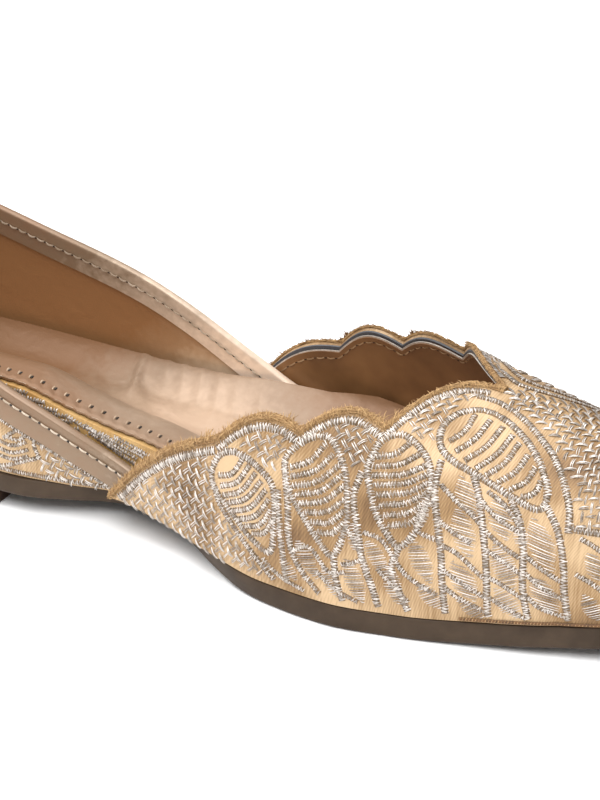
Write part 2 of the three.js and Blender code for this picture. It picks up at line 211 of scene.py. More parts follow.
@dataclass(frozen=True)
class FoilLeather:
    """Champagne foil laminated on leather: a fine grain under a soft metallic film.

    Its colour is painted light and shade: brightest about one lit place and brown away from it.
    """

    name: str
    deep: str
    shade: str
    light: str
    centre_mm: tuple[float, float, float]  # where the painted light is brightest
    reach_mm: tuple[float, float, float]  # how far off the painted light falls to brown, each way
    grain_mm: float = 0.55
    pull_mm: float = 7.0  # length of the soft pulls across the leather
    pull: float = 0.25
    roughness: float = 0.38
    metallic: float = 0.2

    def make(self) -> bpy.types.Material:
        """The foil leather as a material."""
        material, tree, shader = new_material(self.name)
        place = add(tree, "TexCoord", {}).outputs["Object"]
        grain = add(tree, "TexVoronoi", {"Vector": place, "Scale": per_mm(self.grain_mm)})
        fleck = add(tree, "TexNoise", {"Vector": place, "Scale": per_mm(1.6), "Detail": 4.0})
        pulls = {"Scale": per_mm(self.pull_mm), "Detail": 2.0, "Distortion": 0.6}
        cloud = add(tree, "TexNoise", {"Vector": place, **pulls})
        # painted light and shade: light at the lit centre, falling off to deep brown over the reach
        centre = tuple(value * MM for value in self.centre_mm)
        reach = tuple(value * MM for value in self.reach_mm)
        about = add(
            tree, "Mapping", {"Vector": place, "Location": centre, "Scale": reach}, vector_type="TEXTURE"
        )
        off = add(tree, "VectorMath", {0: about.outputs[0]}, operation="LENGTH")
        mixed = add(tree, "Math", {0: fleck.outputs["Fac"], 1: cloud.outputs["Fac"]}, operation="ADD")
        part = add(tree, "Math", {0: mixed.outputs[0], 1: 0.25, 2: 0.75}, operation="MULTIPLY_ADD")
        factor = add(tree, "Math", {0: part.outputs[0], 1: off.outputs["Value"]}, operation="SUBTRACT")
        stops = [(0.02, self.deep), (0.4, self.shade), (0.85, self.light)]
        colour = add(tree, "ValToRGB", {"Fac": factor.outputs[0]}, stops=stops)
        soft = add(
            tree, "Bump", {"Height": cloud.outputs["Fac"], "Strength": self.pull, "Distance": 0.8 * MM}
        )
        relief = {"Height": grain.outputs["Distance"], "Strength": 0.16, "Distance": 0.08 * MM}
        fine = add(tree, "Bump", {**relief, "Normal": soft.outputs[0]})
        dress(tree, shader, colour, fine, {"Roughness": self.roughness, "Metallic": self.metallic})
        return material


@dataclass(frozen=True)
class LiningLeather:
    """Smooth drum-dyed lining leather: even brown with a faint polished sheen."""

    shade: str = "#674629"
    light: str = "#8E6640"

    def make(self) -> bpy.types.Material:
        """The lining leather as a material."""
        material, tree, shader = new_material("brown_lining")
        place = add(tree, "TexCoord", {}).outputs["Object"]
        cloud = add(tree, "TexNoise", {"Vector": place, "Scale": per_mm(14.0), "Detail": 3.0})
        pore = add(tree, "TexNoise", {"Vector": place, "Scale": per_mm(0.5), "Detail": 2.0})
        colour = add(
            tree, "ValToRGB", {"Fac": cloud.outputs["Fac"]}, stops=[(0.3, self.shade), (0.7, self.light)]
        )
        bump = add(tree, "Bump", {"Height": pore.outputs["Fac"], "Strength": 0.1, "Distance": 0.06 * MM})
        dress(tree, shader, colour, bump, {"Roughness": 0.45})
        return material


@dataclass(frozen=True)
class MouldedRubber:
    """Moulded rubber with a dull skin and a few faint rub marks."""

    name: str = "sole_rubber"
    shade: str = "#392C20"
    light: str = "#4B3C2E"

    def make(self) -> bpy.types.Material:
        """The rubber as a material."""
        material, tree, shader = new_material(self.name)
        place = add(tree, "TexCoord", {}).outputs["Object"]
        rub = add(
            tree, "TexNoise", {"Vector": place, "Scale": per_mm(11.0), "Detail": 4.0, "Roughness": 0.6}
        )
        pore = add(tree, "TexNoise", {"Vector": place, "Scale": per_mm(0.35), "Detail": 2.0})
        colour = add(
            tree, "ValToRGB", {"Fac": rub.outputs["Fac"]}, stops=[(0.35, self.shade), (0.7, self.light)]
        )
        bump = add(tree, "Bump", {"Height": pore.outputs["Fac"], "Strength": 0.15, "Distance": 0.06 * MM})
        dress(tree, shader, colour, bump, {"Roughness": 0.5, "Specular IOR Level": 0.22})
        return material


@dataclass(frozen=True)
class PlainYarn:
    """Spun or filament yarn and thin felts: one dyed colour, mottled from yarn to yarn."""

    name: str
    shade: str
    light: str
    roughness: float = 0.6

    def make(self) -> bpy.types.Material:
        """The yarn as a material."""
        material, tree, shader = new_material(self.name)
        yarn = add(tree, "NewGeometry", {})
        place = add(tree, "TexCoord", {})
        fuzz = add(
            tree, "TexNoise", {"Vector": place.outputs["Object"], "Scale": per_mm(0.6), "Detail": 2.0}
        )
        mixed = add(
            tree, "Math", {0: yarn.outputs["Random Per Island"], 1: fuzz.outputs["Fac"]}, operation="ADD"
        )
        half = add(tree, "Math", {0: mixed.outputs[0], 1: 0.5}, operation="MULTIPLY")
        colour = add(
            tree, "ValToRGB", {"Fac": half.outputs[0]}, stops=[(0.2, self.shade), (0.75, self.light)]
        )
        dress(tree, shader, colour, None, {"Roughness": self.roughness})
        return material


class Finish(Enum):
    """The finishes of the shoe, each with the material slot of the record it stands for."""

    SATIN = ("embroidered_satin", GoldSatin())
    # the same satin painted lighter: painted light against the shade on the footbed's flank
    SATIN_WRAP = ("embroidered_satin", GoldSatin("satin_wrap", "#8A602F", "#A87C42", "#C8A46C"))
    THREAD = ("silver_thread", SilverThread())
    # dark strips laid under the stitches: painted shade for the gaps between threads
    UNDERLAY = ("silver_thread", PlainYarn("underlay_thread", "#5A4730", "#84694A", 0.8))
    # the three foil leathers carry painted light and shade, bright about their lit centres
    BINDING = (
        "metallic_leather",
        FoilLeather(
            "binding_leather", "#86634A", "#86705A", "#EAD2BB",
            centre_mm=(98, 27, 13), reach_mm=(120, 90, 70), pull=0.1, roughness=0.33,
        ),
    )
    QUARTER_LINING = (
        "metallic_leather",
        FoilLeather(
            "quarter_foil", "#9A6F48", "#AA8562", "#E0C4A4",
            centre_mm=(86, 26, 14), reach_mm=(36, 60, 22), pull=0.3, roughness=0.42,
        ),
    )
    SOCK = (
        "metallic_leather",
        FoilLeather(
            "sock_leather", "#805E42", "#927A64", "#BDA28A",
            centre_mm=(84, 6, 14), reach_mm=(42, 34, 60), pull=0.5, roughness=0.47,
        ),
    )
    SOCK_LIP = ("metallic_leather", PlainYarn("pressed_lip", "#8E745A", "#B59C84", 0.5))
    FOOT_CORD = ("raw_edge", PlainYarn("foot_cord", "#4A3018", "#6E4A26"))
    LINING = ("lining_leather", LiningLeather())
    RAW_EDGE = ("raw_edge", PlainYarn("gold_fray", "#82603A", "#BC9868", 0.7))
    BACKING = ("lining_leather", PlainYarn("grey_backing", "#3C3D41", "#56575C"))
    PIPING = ("metallic_leather", PlainYarn("cut_leather_edge", "#B9AEA2", "#D8D0C6"))
    STITCH = ("metallic_leather", PlainYarn("sewing_thread", "#A08C76", "#CBBBA8", 0.5))
    LINING_STITCH = ("lining_leather", PlainYarn("tan_thread", "#8E6F50", "#B08F6C", 0.6))
    # dark marks standing for needle holes and slots: painted shade inside them
    HOLE = ("lining_leather", PlainYarn("needle_hole", "#1E1712", "#3A2D22"))
    SOLE = ("sole_rubber", MouldedRubber())
    HEEL = ("heel_rubber", MouldedRubber("heel_rubber", "#3A2A1F", "#4A3528"))

    @property
    def slot(self) -> str:
        """The record's material slot."""
        return self.value[0]

    def material(self) -> bpy.types.Material:
        """The finish's material, made the first time it is asked for."""
        made = bpy.data.materials.get(self.name.lower() + "_finish")
        if made is None:
            made = self.value[1].make()
            made.name = self.name.lower() + "_finish"
        return made


# ---------------------------------------------------------------- the last


class Table:
    """Sizes against x, joined by a smooth curve that never swings past its rows."""

    def __init__(self, names: str, rows: Sequence[Sequence[float]]) -> None:
        """Take the columns' names and the rows.

        Args:
            names: the names after x, parted by blanks.
            rows: x and the sizes, in order of x.
        """
        values = np.array(rows, float)
        self.x = values[:, 0]
        self.columns = {name: values[:, i + 1] for i, name in enumerate(names.split())}
        self.slopes = {name: self._tangents(column) for name, column in self.columns.items()}

    def _tangents(self, column: Array) -> Array:
        """Slope at each row: the harmonic mean of its neighbours' slopes, or none at a peak."""
        rise = np.diff(column) / np.diff(self.x)
        product = rise[1:] * rise[:-1]
        total = rise[1:] + rise[:-1]
        inner = np.where(product > 0, 2 * product / np.where(total == 0, 1, total), 0)
        return np.concatenate([rise[:1], inner, rise[-1:]])

    def at(self, name: str, x: Array | float) -> Array:
        """The size in a column at an x in millimetres."""
        where = np.clip(np.asarray(x, float), self.x[0], self.x[-1])
        i = np.clip(np.searchsorted(self.x, where, side="right") - 1, 0, len(self.x) - 2)
        span = self.x[i + 1] - self.x[i]
        t = (where - self.x[i]) / span
        column, slope = self.columns[name], self.slopes[name]
        blend = column[i] + (column[i + 1] - column[i]) * t * t * (3 - 2 * t)
        return blend + span * (slope[i] * t * (1 - t) ** 2 - slope[i + 1] * t * t * (1 - t))


def facing(outer: Array | bool, turn: Array | float) -> Array:
    """Turns on the outer side, counted from the outer feather edge, as turns from the inner one."""
    return np.where(outer, 180 - turn, turn)


@dataclass(frozen=True)
class Last:
    """The last: half widths, tread line and ridge from heel to toe."""

    heel_back: float = -28
    heel_pole: float = -5
    toe_start: float = 192
    toe_pole: float = 201
    toe_tip: float = 236
    toe_taper: float = 14
    toe_blunt: float = 2.4
    toe_flat: float = 0.45
    toe_y: float = -1
    gap: float = 0.3
    sizes: Table = field(
        default_factory=lambda: Table(
            "medial lateral tread thick ridge_y ridge bulge",
            [
                (-28, 28.6, 28.4, 4.4, 4.8, 0, 97.0, 1.5),
                (0, 28.6, 28.4, 4.3, 4.8, 0, 92.0, 1.5),
                (25, 29.0, 28.2, 4.2, 4.8, 0, 84.0, 1.6),
                (53, 28.8, 27.8, 4.2, 4.8, 0, 75.0, 1.6),
                (68, 26.8, 27.6, 4.2, 4.8, 0, 70.0, 1.6),
                (81, 24.3, 28.2, 4.1, 4.9, 0, 65.6, 2.0),
                (94, 26.6, 30.2, 3.0, 5.1, 0, 62.0, 2.2),
                (110, 31.4, 32.8, 1.3, 5.4, 0, 58.4, 2.0),
                (126, 35.1, 34.5, 0.0, 5.6, -0.5, 55.2, 1.6),
                (142, 36.3, 34.1, 0.0, 5.6, -1.0, 51.2, 1.4),
                (158, 33.5, 31.9, 0.0, 5.6, -1.5, 47.7, 1.2),
                (176, 28.7, 28.3, 0.9, 5.6, -1.5, 44.4, 1.0),
                (192, 23.9, 24.3, 2.2, 5.6, -1.0, 41.2, 0.9),
                (236, 0.0, 0.0, 7.2, 5.6, -1.0, 39.2, 0.4),
            ],
        )
    )

    def heel_fan(self, count: int) -> Array:
        """Stations from the heel's back up to its round's end, closer together at the back."""
        return self.heel_back * np.cos(np.radians(90 * np.arange(count) / count))

    def toe_fan(self, count: int) -> Array:
        """Stations from the start of the toe's round to its tip, closer together at the tip."""
        return self.toe_start + (self.toe_tip - self.toe_start) * np.sin(
            np.radians(90 * np.arange(count + 1) / count)
        )

    def sole_top(self, x: Array | float) -> Array:
        """Height of the sole's top."""
        return self.sizes.at("tread", x) + self.sizes.at("thick", x)

    def feather(self, x: Array | float) -> Array:
        """Height of the feather edge, where the upper stands on the sole."""
        return self.sole_top(x) + self.gap

    def foot(self, x: Array, outer: Array) -> tuple[Array, Array, Array, Array]:
        """Where the wall stands and what crown point it leans to.

        Args:
            x: stations.
            outer: true on the outer side.

        Returns:
            Foot x and y, crown x and y.
        """
        sign = np.where(outer, 1.0, -1.0)
        middle = np.clip(x, 0, self.toe_start)
        half = np.where(outer, self.sizes.at("lateral", middle), self.sizes.at("medial", middle))
        u = np.clip(x / self.heel_back, 0, 1)
        v = np.clip((x - self.toe_start) / (self.toe_tip - self.toe_start), 0, 1)
        half = (half - self.toe_taper * v) * np.sqrt(1 - u * u) * np.sqrt(1 - v**self.toe_blunt)
        ridge_y = np.where(
            x < 0, 0.0, np.where(x > self.toe_start, self.toe_y, self.sizes.at("ridge_y", x))
        )
        ahead = self.toe_start + (self.toe_pole - self.toe_start) * v
        crown_x = np.where(x < 0, self.heel_pole * u, np.where(v > 0, ahead, x))
        return x, self.toe_y * v + sign * half, crown_x, ridge_y

    def point(self, x: Array | float, t: Array | float, offset: Array | float = 0.0) -> Array:
        """Points on the last, stood off outwards.

        Args:
            x: stations.
            t: turns in degrees, 0 inner feather edge to 180 outer feather edge.
            offset: distance outwards.

        Returns:
            Points, with the last axis x, y, z.
        """
        x, t, offset = np.broadcast_arrays(*(np.asarray(part, float) for part in (x, t, offset)))
        outer = t > 90
        turn = np.radians(facing(outer, t))
        foot_x, foot_y, crown_x, crown_y = self.foot(x, outer)
        along_x, along_y = foot_x - crown_x, foot_y - crown_y
        length = np.maximum(np.hypot(along_x, along_y), 1e-6)
        swell = self.sizes.at("bulge", x) * np.sin(2 * turn)
        reach = ((length + offset) * np.cos(turn) + swell) / length
        full = self.sizes.at("ridge", x) - self.feather(x) + offset
        rise = full * np.sign(np.sin(turn)) * np.abs(np.sin(turn)) ** self.flatness(x)
        return np.stack([crown_x + along_x * reach, crown_y + along_y * reach, self.feather(x) + rise], -1)

    def flatness(self, x: Array | float) -> Array:
        """How much flatter than round the wall is at the toe."""
        return 1 + self.toe_flat * np.clip(
            (np.asarray(x) - self.toe_start) / (self.toe_tip - self.toe_start), 0, 1
        )

    def turn_at(self, x: Array | float, height: Array | float, offset: Array | float) -> Array:
        """Turn in degrees at which the wall reaches a height."""
        base = self.feather(x)
        ratio = (height - base) / (self.sizes.at("ridge", x) - base + offset)
        return np.degrees(np.arcsin(np.clip(ratio, 0, 1) ** (1 / self.flatness(x))))


LAST = Last()


# ---------------------------------------------------------------- mesh making


def settle(mesh: bpy.types.Mesh, finish: Finish, crease: float) -> bpy.types.Object:
    """Put a mesh on the shoe as a piece of the mesh's name.

    Args:
        mesh: the piece's mesh.
        finish: its finish.
        crease: edges sharper than this, in degrees, stay sharp.

    Returns:
        The object.
    """
    mesh.shade_smooth()
    mesh.set_sharp_from_angle(angle=math.radians(crease))
    made = bpy.data.objects.new(mesh.name, mesh)
    bpy.context.collection.objects.link(made)
    made.data.materials.append(finish.material())
    finish.slot
    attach(made, ROOT)
    LOG.info("%s: %d faces", mesh.name, len(mesh.polygons))
    return made


def piece(
    name: str, points: Array, faces: Sequence, finish: Finish, crease: float = 38.0
) -> bpy.types.Object:
    """Make a mesh piece that rides on the shoe.

    Args:
        name: the piece's name.
        points: corners in millimetres.
        faces: corner numbers of each face, an array or a list.
        finish: its finish.
        crease: edges sharper than this, in degrees, stay sharp.

    Returns:
        The object.
    """
    mesh = bpy.data.meshes.new(name)
    corners = np.asarray(points, float).reshape(-1, 3) * MM
    mesh.from_pydata(corners.tolist(), [], [list(map(int, face)) for face in faces])
    mesh.validate()
    return settle(mesh, finish, crease)


def grid_faces(rows: int, columns: int, start: int = 0, wrap: bool = False) -> Array:
    """Quads of a grid of corners numbered from a start, row by row; a wrapped row closes on itself."""
    i = np.arange(rows - 1)[:, None]
    j = np.arange(columns if wrap else columns - 1)[None, :]
    k = (j + 1) % columns
    quads = np.stack([i * columns + j, (i + 1) * columns + j, (i + 1) * columns + k, i * columns + k], -1)
    return quads.reshape(-1, 4) + start


def weld(made: bpy.types.Object, reach_mm: float = 0.002) -> bpy.types.Object:
    """Join corners that lie together, drop faces without area and face outwards."""
    shape = bmesh.new()
    shape.from_mesh(made.data)
    bmesh.ops.remove_doubles(shape, verts=shape.verts, dist=reach_mm * MM)
    bmesh.ops.dissolve_degenerate(shape, edges=shape.edges, dist=reach_mm * MM)
    bmesh.ops.recalc_face_normals(shape, faces=shape.faces)
    shape.to_mesh(made.data)
    shape.free()
    return made


def ring_solid(name: str, ring: Array, finish: Finish) -> bpy.types.Object:
    """A closed solid through rings of corners, with a flat cap at both ends.

    Args:
        name: the piece's name.
        ring: corners, stations by places round the section.
        finish: its finish.

    Returns:
        The welded object.
    """
    stations, count = ring.shape[:2]
    faces = grid_faces(stations, count, wrap=True).tolist()
    last = (stations - 1) * count
    faces += [list(range(count))[::-1], list(range(last, last + count))]
    return weld(piece(name, ring, faces, finish, 50))


def shell(
    name: str, inner: Array, outer: Array, finish: Finish, open_top: Array | None = None
) -> bpy.types.Object:
    """A closed sheet between an inner and an outer grid.

    Args:
        name: the piece's name.
        inner: grid of points, columns by rows.
        outer: grid of the same shape.
        finish: its finish.
        open_top: columns whose last row has a rim; all if left out.

    Returns:
        The welded object.
    """
    columns, rows = outer.shape[:2]
    points = np.concatenate([outer.reshape(-1, 3), inner.reshape(-1, 3)])
    half = columns * rows
    outside = grid_faces(columns, rows)
    inside = grid_faces(columns, rows, half)[:, ::-1]
    index = np.arange(half).reshape(columns, rows)
    rims = [index[:, 0][::-1], index[0, :], index[-1, :][::-1]]
    top = index[:, -1]
    free = np.ones(columns, bool) if open_top is None else open_top
    strips = [np.stack([a[:-1], a[1:], a[1:] + half, a[:-1] + half], -1) for a in rims]
    keep = free[:-1] & free[1:]
    strips.append(np.stack([top[:-1], top[1:], top[1:] + half, top[:-1] + half], -1)[keep])
    return weld(piece(name, points, np.concatenate([outside, inside, *strips]).tolist(), finish))


def add_lay(made: bpy.types.Object, lay: Callable[[Array], Array]) -> None:
    """Store where the cloth's yarns lie, in millimetres along and across them.

    Args:
        made: the piece.
        lay: turns corners in millimetres into yarn places.
    """
    count = len(made.data.vertices)
    corners = np.empty(count * 3)
    made.data.vertices.foreach_get("co", corners)
    values = np.zeros((count, 3))
    values[:, :2] = lay(corners.reshape(-1, 3) / MM)
    layer = made.data.attributes.new("lay", "FLOAT_VECTOR", "POINT")
    layer.data.foreach_set("vector", values.ravel())


def upper_lay(points: Array) -> Array:
    """Yarn places on the upper: warp up the wall, weft along it."""
    return np.stack([points[:, 0], np.hypot(points[:, 1], points[:, 2])], -1)


def bed_lay(points: Array) -> Array:
    """Yarn places on the footbed: warp along it, weft across it and up its flanks."""
    return np.stack([points[:, 0], points[:, 1] + points[:, 2]], -1)


# ---------------------------------------------------------------- the vamp


@dataclass
class Vamp:
    """The toe of the shoe: lining, backing and embroidered satin, cut in scallops."""

    satin_in: float = 1.15
    satin_out: float = 1.8
    satin_bevel: float = 0.15  # how far below its face the back of the satin ends
    backing_gap: float = 0.05
    backing_in: float = 0.72
    lining_out: float = 0.66
    lining_drop: float = 1.1  # how far below the cut edge the lining ends
    backing_drop: float = 0.1
    rows: int = 34
    steps: int = 22
    inner_valleys: Sequence[tuple[float, float, float]] = (
        (79.5, 0, 3),
        (111, 32, 5.5),
        (131, 45, 6.5),
        (149, 56.5, 9),
        (167.5, 90, 0),
    )
    outer_valleys: Sequence[tuple[float, float, float]] = (
        (83, 0, 5.5),
        (108, 24.5, 5.5),
        (125, 34, 5.5),
        (143, 44.5, 6),
        (167.5, 90, 0),
    )

    def throat(self, outer: bool) -> tuple[Array, Array]:
        """Each column's x along one side of the cut edge, and the turn of the edge there."""
        rows = self.outer_valleys if outer else self.inner_valleys
        xs, turns = [], []
        for (x0, turn0, swell), (x1, turn1, _) in zip(rows, rows[1:]):
            share = np.arange(self.steps) / self.steps
            xs.append(x0 + (x1 - x0) * share)
            turns.append(np.minimum(turn0 + (turn1 - turn0) * share + swell * np.sin(np.pi * share), 90))
        return np.concatenate(xs), np.concatenate(turns)

    def cut_line(self, outer: bool) -> tuple[Array, Array]:
        """The x and the turn of one side's cut edge, as far as the apex on the ridge."""
        xs, turns = self.throat(outer)
        return np.append(xs, self.inner_valleys[-1][0]), np.append(turns, 90.0)

    def edge(self, outer: bool, x: Array) -> Array:
        """Turn of the cut edge at an x."""
        return np.interp(x, *self.cut_line(outer))

    def degree(self, x: Array, end: float = 170, count: int = 30) -> Array:
        """Millimetres to a degree of turn.

        Args:
            x: where.
            end: the last station measured, from just behind the wing's tip.
            count: how many stations are measured.

        Returns:
            The wall's length from foot to ridge over its 90 degrees.
        """
        at = np.linspace(78, end, count)
        points = LAST.point(at[:, None], np.linspace(0, 90, 19)[None, :], self.satin_out)
        return np.interp(x, at, np.linalg.norm(np.diff(points, axis=1), axis=-1).sum(1) / 90)

    def columns(self, outer: bool) -> tuple[Array, Array]:
        """The x and the top turn of all columns of a side, from the wing's tip to the toe."""
        xs, turns = self.throat(outer)
        apex = self.inner_valleys[-1][0]
        plain = apex + (LAST.toe_start - apex) * np.arange(18) / 18
        ahead = np.concatenate([plain, LAST.toe_fan(30)])
        return np.concatenate([xs, ahead]), np.concatenate([turns, np.full(len(ahead), 90.0)])

    def grid(self, offset: float, drop: float) -> tuple[Array, Array]:
        """Points of one face of the vamp.

        Args:
            offset: distance from the last.
            drop: how far below the cut edge the face ends.

        Returns:
            Grid of points, columns by rows, and which columns end at the throat.
        """
        share = np.linspace(0, 1, self.rows)
        sides = []
        free = []
        for outer in (False, True):
            x, top = self.columns(outer)
            apex = self.inner_valleys[-1][0]
            cut = x <= apex + 1e-6
            below = LAST.point(x, np.maximum(top - 1, 0), offset)
            slope = np.linalg.norm(LAST.point(x, top, offset) - below, axis=-1)
            low = np.where(cut & (top > 1), np.maximum(top - drop / np.maximum(slope, 0.1), 0), top)
            sides.append(LAST.point(x[:, None], facing(outer, low[:, None] * share[None, :]), offset))
            free.append(cut)
        points = np.concatenate([sides[0], sides[1][::-1][1:]])
        return points, np.concatenate([free[0], free[1][::-1][1:]])

    def build(self) -> None:
        """Build the layers of the vamp."""
        outer, free = self.grid(self.satin_out, 0.0)
        inner, _ = self.grid(self.satin_in, self.satin_bevel)
        satin = shell("vamp_satin", inner, outer, Finish.SATIN, free)
        add_lay(satin, upper_lay)
        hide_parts("vamp")
        back_out, _ = self.grid(self.satin_in - self.backing_gap, self.backing_drop)
        back_in, _ = self.grid(self.backing_in, self.backing_drop)
        shell("vamp_backing", back_in, back_out, Finish.BACKING, free)
        lining_out, _ = self.grid(self.lining_out, self.lining_drop)
        lining_in, _ = self.grid(0.0, self.lining_drop)
        shell("vamp_lining", lining_in, lining_out, Finish.LINING, free)


# ---------------------------------------------------------------- quarter and binding


@dataclass
class Quarter:
    """The wall round the heel: satin outside, leather inside."""

    lining_in: float = -3.0
    lining_out: float = -2.45
    satin_in: float = -2.35
    satin_out: float = -1.2
    inner_end: float = 98
    outer_end: float = 108
    rows: int = 24
    tuck: float = 2.4  # how far inside the binding the cloth and the lining end
    collar: Table = field(
        default_factory=lambda: Table(
            "medial lateral",
            [
                (-28, 56, 56),
                (-14, 54.4, 54.8),
                (0, 50.4, 51.8),
                (18, 44.6, 48.3),
                (34, 38.4, 44.8),
                (50, 31.5, 41.4),
                (60, 27.3, 38.6),
                (70, 22.4, 34.4),
                (80, 17.0, 28.4),
                (90, 13.0, 21.6),
                (97, 10.9, 17.0),
                (104, 10.2, 13.6),
                (108, 9.8, 11.5),
            ],
        )
    )

    def path(self, inner_end: float, outer_end: float) -> tuple[Array, Array]:
        """Stations from the inner end round the heel to the outer end, and which are on the outer side."""
        fan = LAST.heel_fan(24)
        inner = np.concatenate([fan, np.linspace(0, inner_end, 56)])
        outer = np.concatenate([fan, np.linspace(0, outer_end, 58)])
        x = np.concatenate([inner[::-1], outer[1:]])
        return x, np.arange(len(x)) >= len(inner)

    def top(self, x: Array, outer: Array) -> Array:
        """Height of the collar."""
        return np.where(outer, self.collar.at("lateral", x), self.collar.at("medial", x))

    def grid(self, offset: float) -> Array:
        """Points of one face of the quarter, columns by rows."""
        x, outer = self.path(self.inner_end, self.outer_end)
        top = LAST.turn_at(x, self.top(x, outer) - self.tuck, self.satin_out)
        top[0] = top[-1] = 0
        turn = top[:, None] * np.linspace(0, 1, self.rows)[None, :]
        return LAST.point(x[:, None], facing(outer[:, None], turn), offset)

    def build(self) -> None:
        """Build the quarter's satin and lining."""
        satin = shell("quarter_satin", self.grid(self.satin_in), self.grid(self.satin_out), Finish.SATIN)
        add_lay(satin, upper_lay)
        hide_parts("quarter")
        shell(
            "quarter_lining", self.grid(self.lining_in), self.grid(self.lining_out), Finish.QUARTER_LINING
        )


@dataclass
class CollarBinding:
    """Leather folded over the quarter's top line, rolled round at the edge."""

    quarter: Quarter
    thick: float = 0.6
    width: float = 6.6
    pinch: float = 0.65  # the fold is hammered thinner towards its edge
    inner_end: float = 90
    outer_end: float = 105

    def section(self, x: Array, outer: Array, swell: float) -> Array:
        """Rings of the folded leather's outer or inner face.

        Args:
            x: stations.
            outer: which of them are on the outer side.
            swell: thickness outside the fold's inner face.

        Returns:
            Points, stations by places round the fold.
        """
        collar = self.quarter.top(x, outer)
        low = np.maximum(collar - self.width, LAST.feather(x) + 2 * LAST.gap)
        middle = (self.quarter.satin_out + self.quarter.lining_in) / 2
        half = (self.quarter.satin_out - self.quarter.lining_in) / 2 + LAST.gap + swell
        rise = np.linspace(0, 1, 9)[:-1]
        round_off = np.radians(np.linspace(0, 180, 11))
        top = half - self.pinch
        leg = half - self.pinch * rise**1.5
        heights = [
            low[:, None] + (collar - low)[:, None] * rise, collar[:, None] + 0.7 * top * np.sin(round_off)
        ]
        heights.append(heights[0][:, ::-1])
        offsets = [leg, top * np.cos(round_off), -leg[::-1]]
        height = np.concatenate(heights, 1)
        offset = (middle + np.concatenate(offsets))[None, :]
        turn = LAST.turn_at(x[:, None], height, offset)
        return LAST.point(x[:, None], facing(outer[:, None], turn), offset)

    def build(self) -> None:
        """Build the folded binding."""
        x, outer = self.quarter.path(self.inner_end, self.outer_end)
        inside, outside = self.section(x, outer, 0.0), self.section(x, outer, self.thick)
        made = shell("collar_binding_fold", inside, outside, Finish.BINDING)
        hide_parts("collar_binding")


# ---------------------------------------------------------------- footbed and sock


@dataclass
class Footbed:
    """The moulded insole wrapped in satin: raised arch inside, turned-up rim outside."""

    side_heel: float = -4.4
    side_fore: float = -0.7
    side_step: tuple[float, float] = (108, 10)  # where the side comes out to the vamp, and how long it takes
    arch_band: float = 7.5
    rim_ramp: float = 11
    columns: int = 50
    flank_rows: int = 7
    sizes: Table = field(
        default_factory=lambda: Table(
            "bed arch rim",
            [
                (-28, 15.5, 0, 0),
                (0, 15.0, 7.5, 1.5),
                (25, 14.4, 15.6, 3.0),
                (53, 13.6, 16.7, 4.0),
                (68, 13.0, 12.9, 4.5),
                (81, 12.6, 9.6, 5.0),
                (94, 12.2, 9.2, 5.8),
                (110, 11.8, 7.2, 5.6),
                (126, 11.6, 3.6, 3.6),
                (142, 11.2, 1.6, 1.6),
                (158, 11.0, 0.2, 0.2),
                (176, 10.8, 0, 0),
                (192, 11.6, 0, 0),
                (236, 15.8, 0, 0),
            ],
        )
    )

    def side(self, x: Array) -> Array:
        """How far the footbed's side stands from the last."""
        start, reach = self.side_step
        return self.side_heel + (self.side_fore - self.side_heel) * np.clip((x - start) / reach, 0, 1)

    def width(self, x: Array) -> Array:
        """Width of the footbed at its foot."""
        offset = self.side(x)
        return np.linalg.norm(LAST.point(x, 0.0, offset) - LAST.point(x, 180.0, offset), axis=-1)

    def top(self, x: Array, share: Array) -> Array:
        """Height of the top at a share of the width from the inner edge."""
        width = self.width(x)
        arch, rim = self.sizes.at("arch", x), self.sizes.at("rim", x)
        down = np.clip((share * width - self.arch_band) / (1.3 * arch + 6), 0, 1)
        up = np.clip(((share - 1) * width + self.rim_ramp) / self.rim_ramp, 0, 1)
        turned = arch * (1 + np.cos(np.pi * down)) / 2 + rim * (1 - np.cos(np.pi * up)) / 2
        return self.sizes.at("bed", x) + turned

    def place(self, x: Array, share: Array, lift: Array | float) -> Array:
        """Points on the top.

        Args:
            x: stations.
            share: shares of the width from the inner edge.
            lift: height over the footbed.

        Returns:
            The points.
        """
        x, share, lift = np.broadcast_arrays(np.asarray(x, float), share, lift)
        offset = self.side(x)
        inner = LAST.point(x, LAST.turn_at(x, self.top(x, np.zeros(x.shape)), offset), offset)
        outer = LAST.point(x, 180 - LAST.turn_at(x, self.top(x, np.ones(x.shape)), offset), offset)
        points = inner + (outer - inner) * share[..., None]
        points[..., 2] = self.top(x, share) + lift
        return points

    def stations(self, start: float, end: float) -> Array:
        """Stations with a fan at the heel and at the toe."""
        every = np.concatenate(
            [LAST.heel_fan(20), np.linspace(0, LAST.toe_start, 170), LAST.toe_fan(20)[1:]]
        )
        return np.concatenate([[start], every[(every > start + 0.3) & (every < end - 0.3)], [end]])

    def build(self) -> None:
        """Build the wrapped footbed."""
        x = self.stations(LAST.heel_back, LAST.toe_tip)
        top = self.place(x[:, None], np.linspace(0, 1, self.columns)[None, :], 0.0)
        offset = self.side(x)
        foot = LAST.feather(x)
        flanks = []
        for outer, height in ((False, top[:, 0, 2]), (True, top[:, -1, 2])):
            level = foot[:, None] + (height - foot)[:, None] * np.arange(
                self.flank_rows
            )[None, :] / self.flank_rows
            turn = LAST.turn_at(x[:, None], level, offset[:, None])
            flanks.append(LAST.point(x[:, None], facing(outer, turn), offset[:, None]))
        ring = np.concatenate([flanks[0], top, flanks[1][:, ::-1]], 1)
        made = ring_solid("footbed_wrap", ring, Finish.SATIN_WRAP)
        add_lay(made, bed_lay)
        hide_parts("footbed")


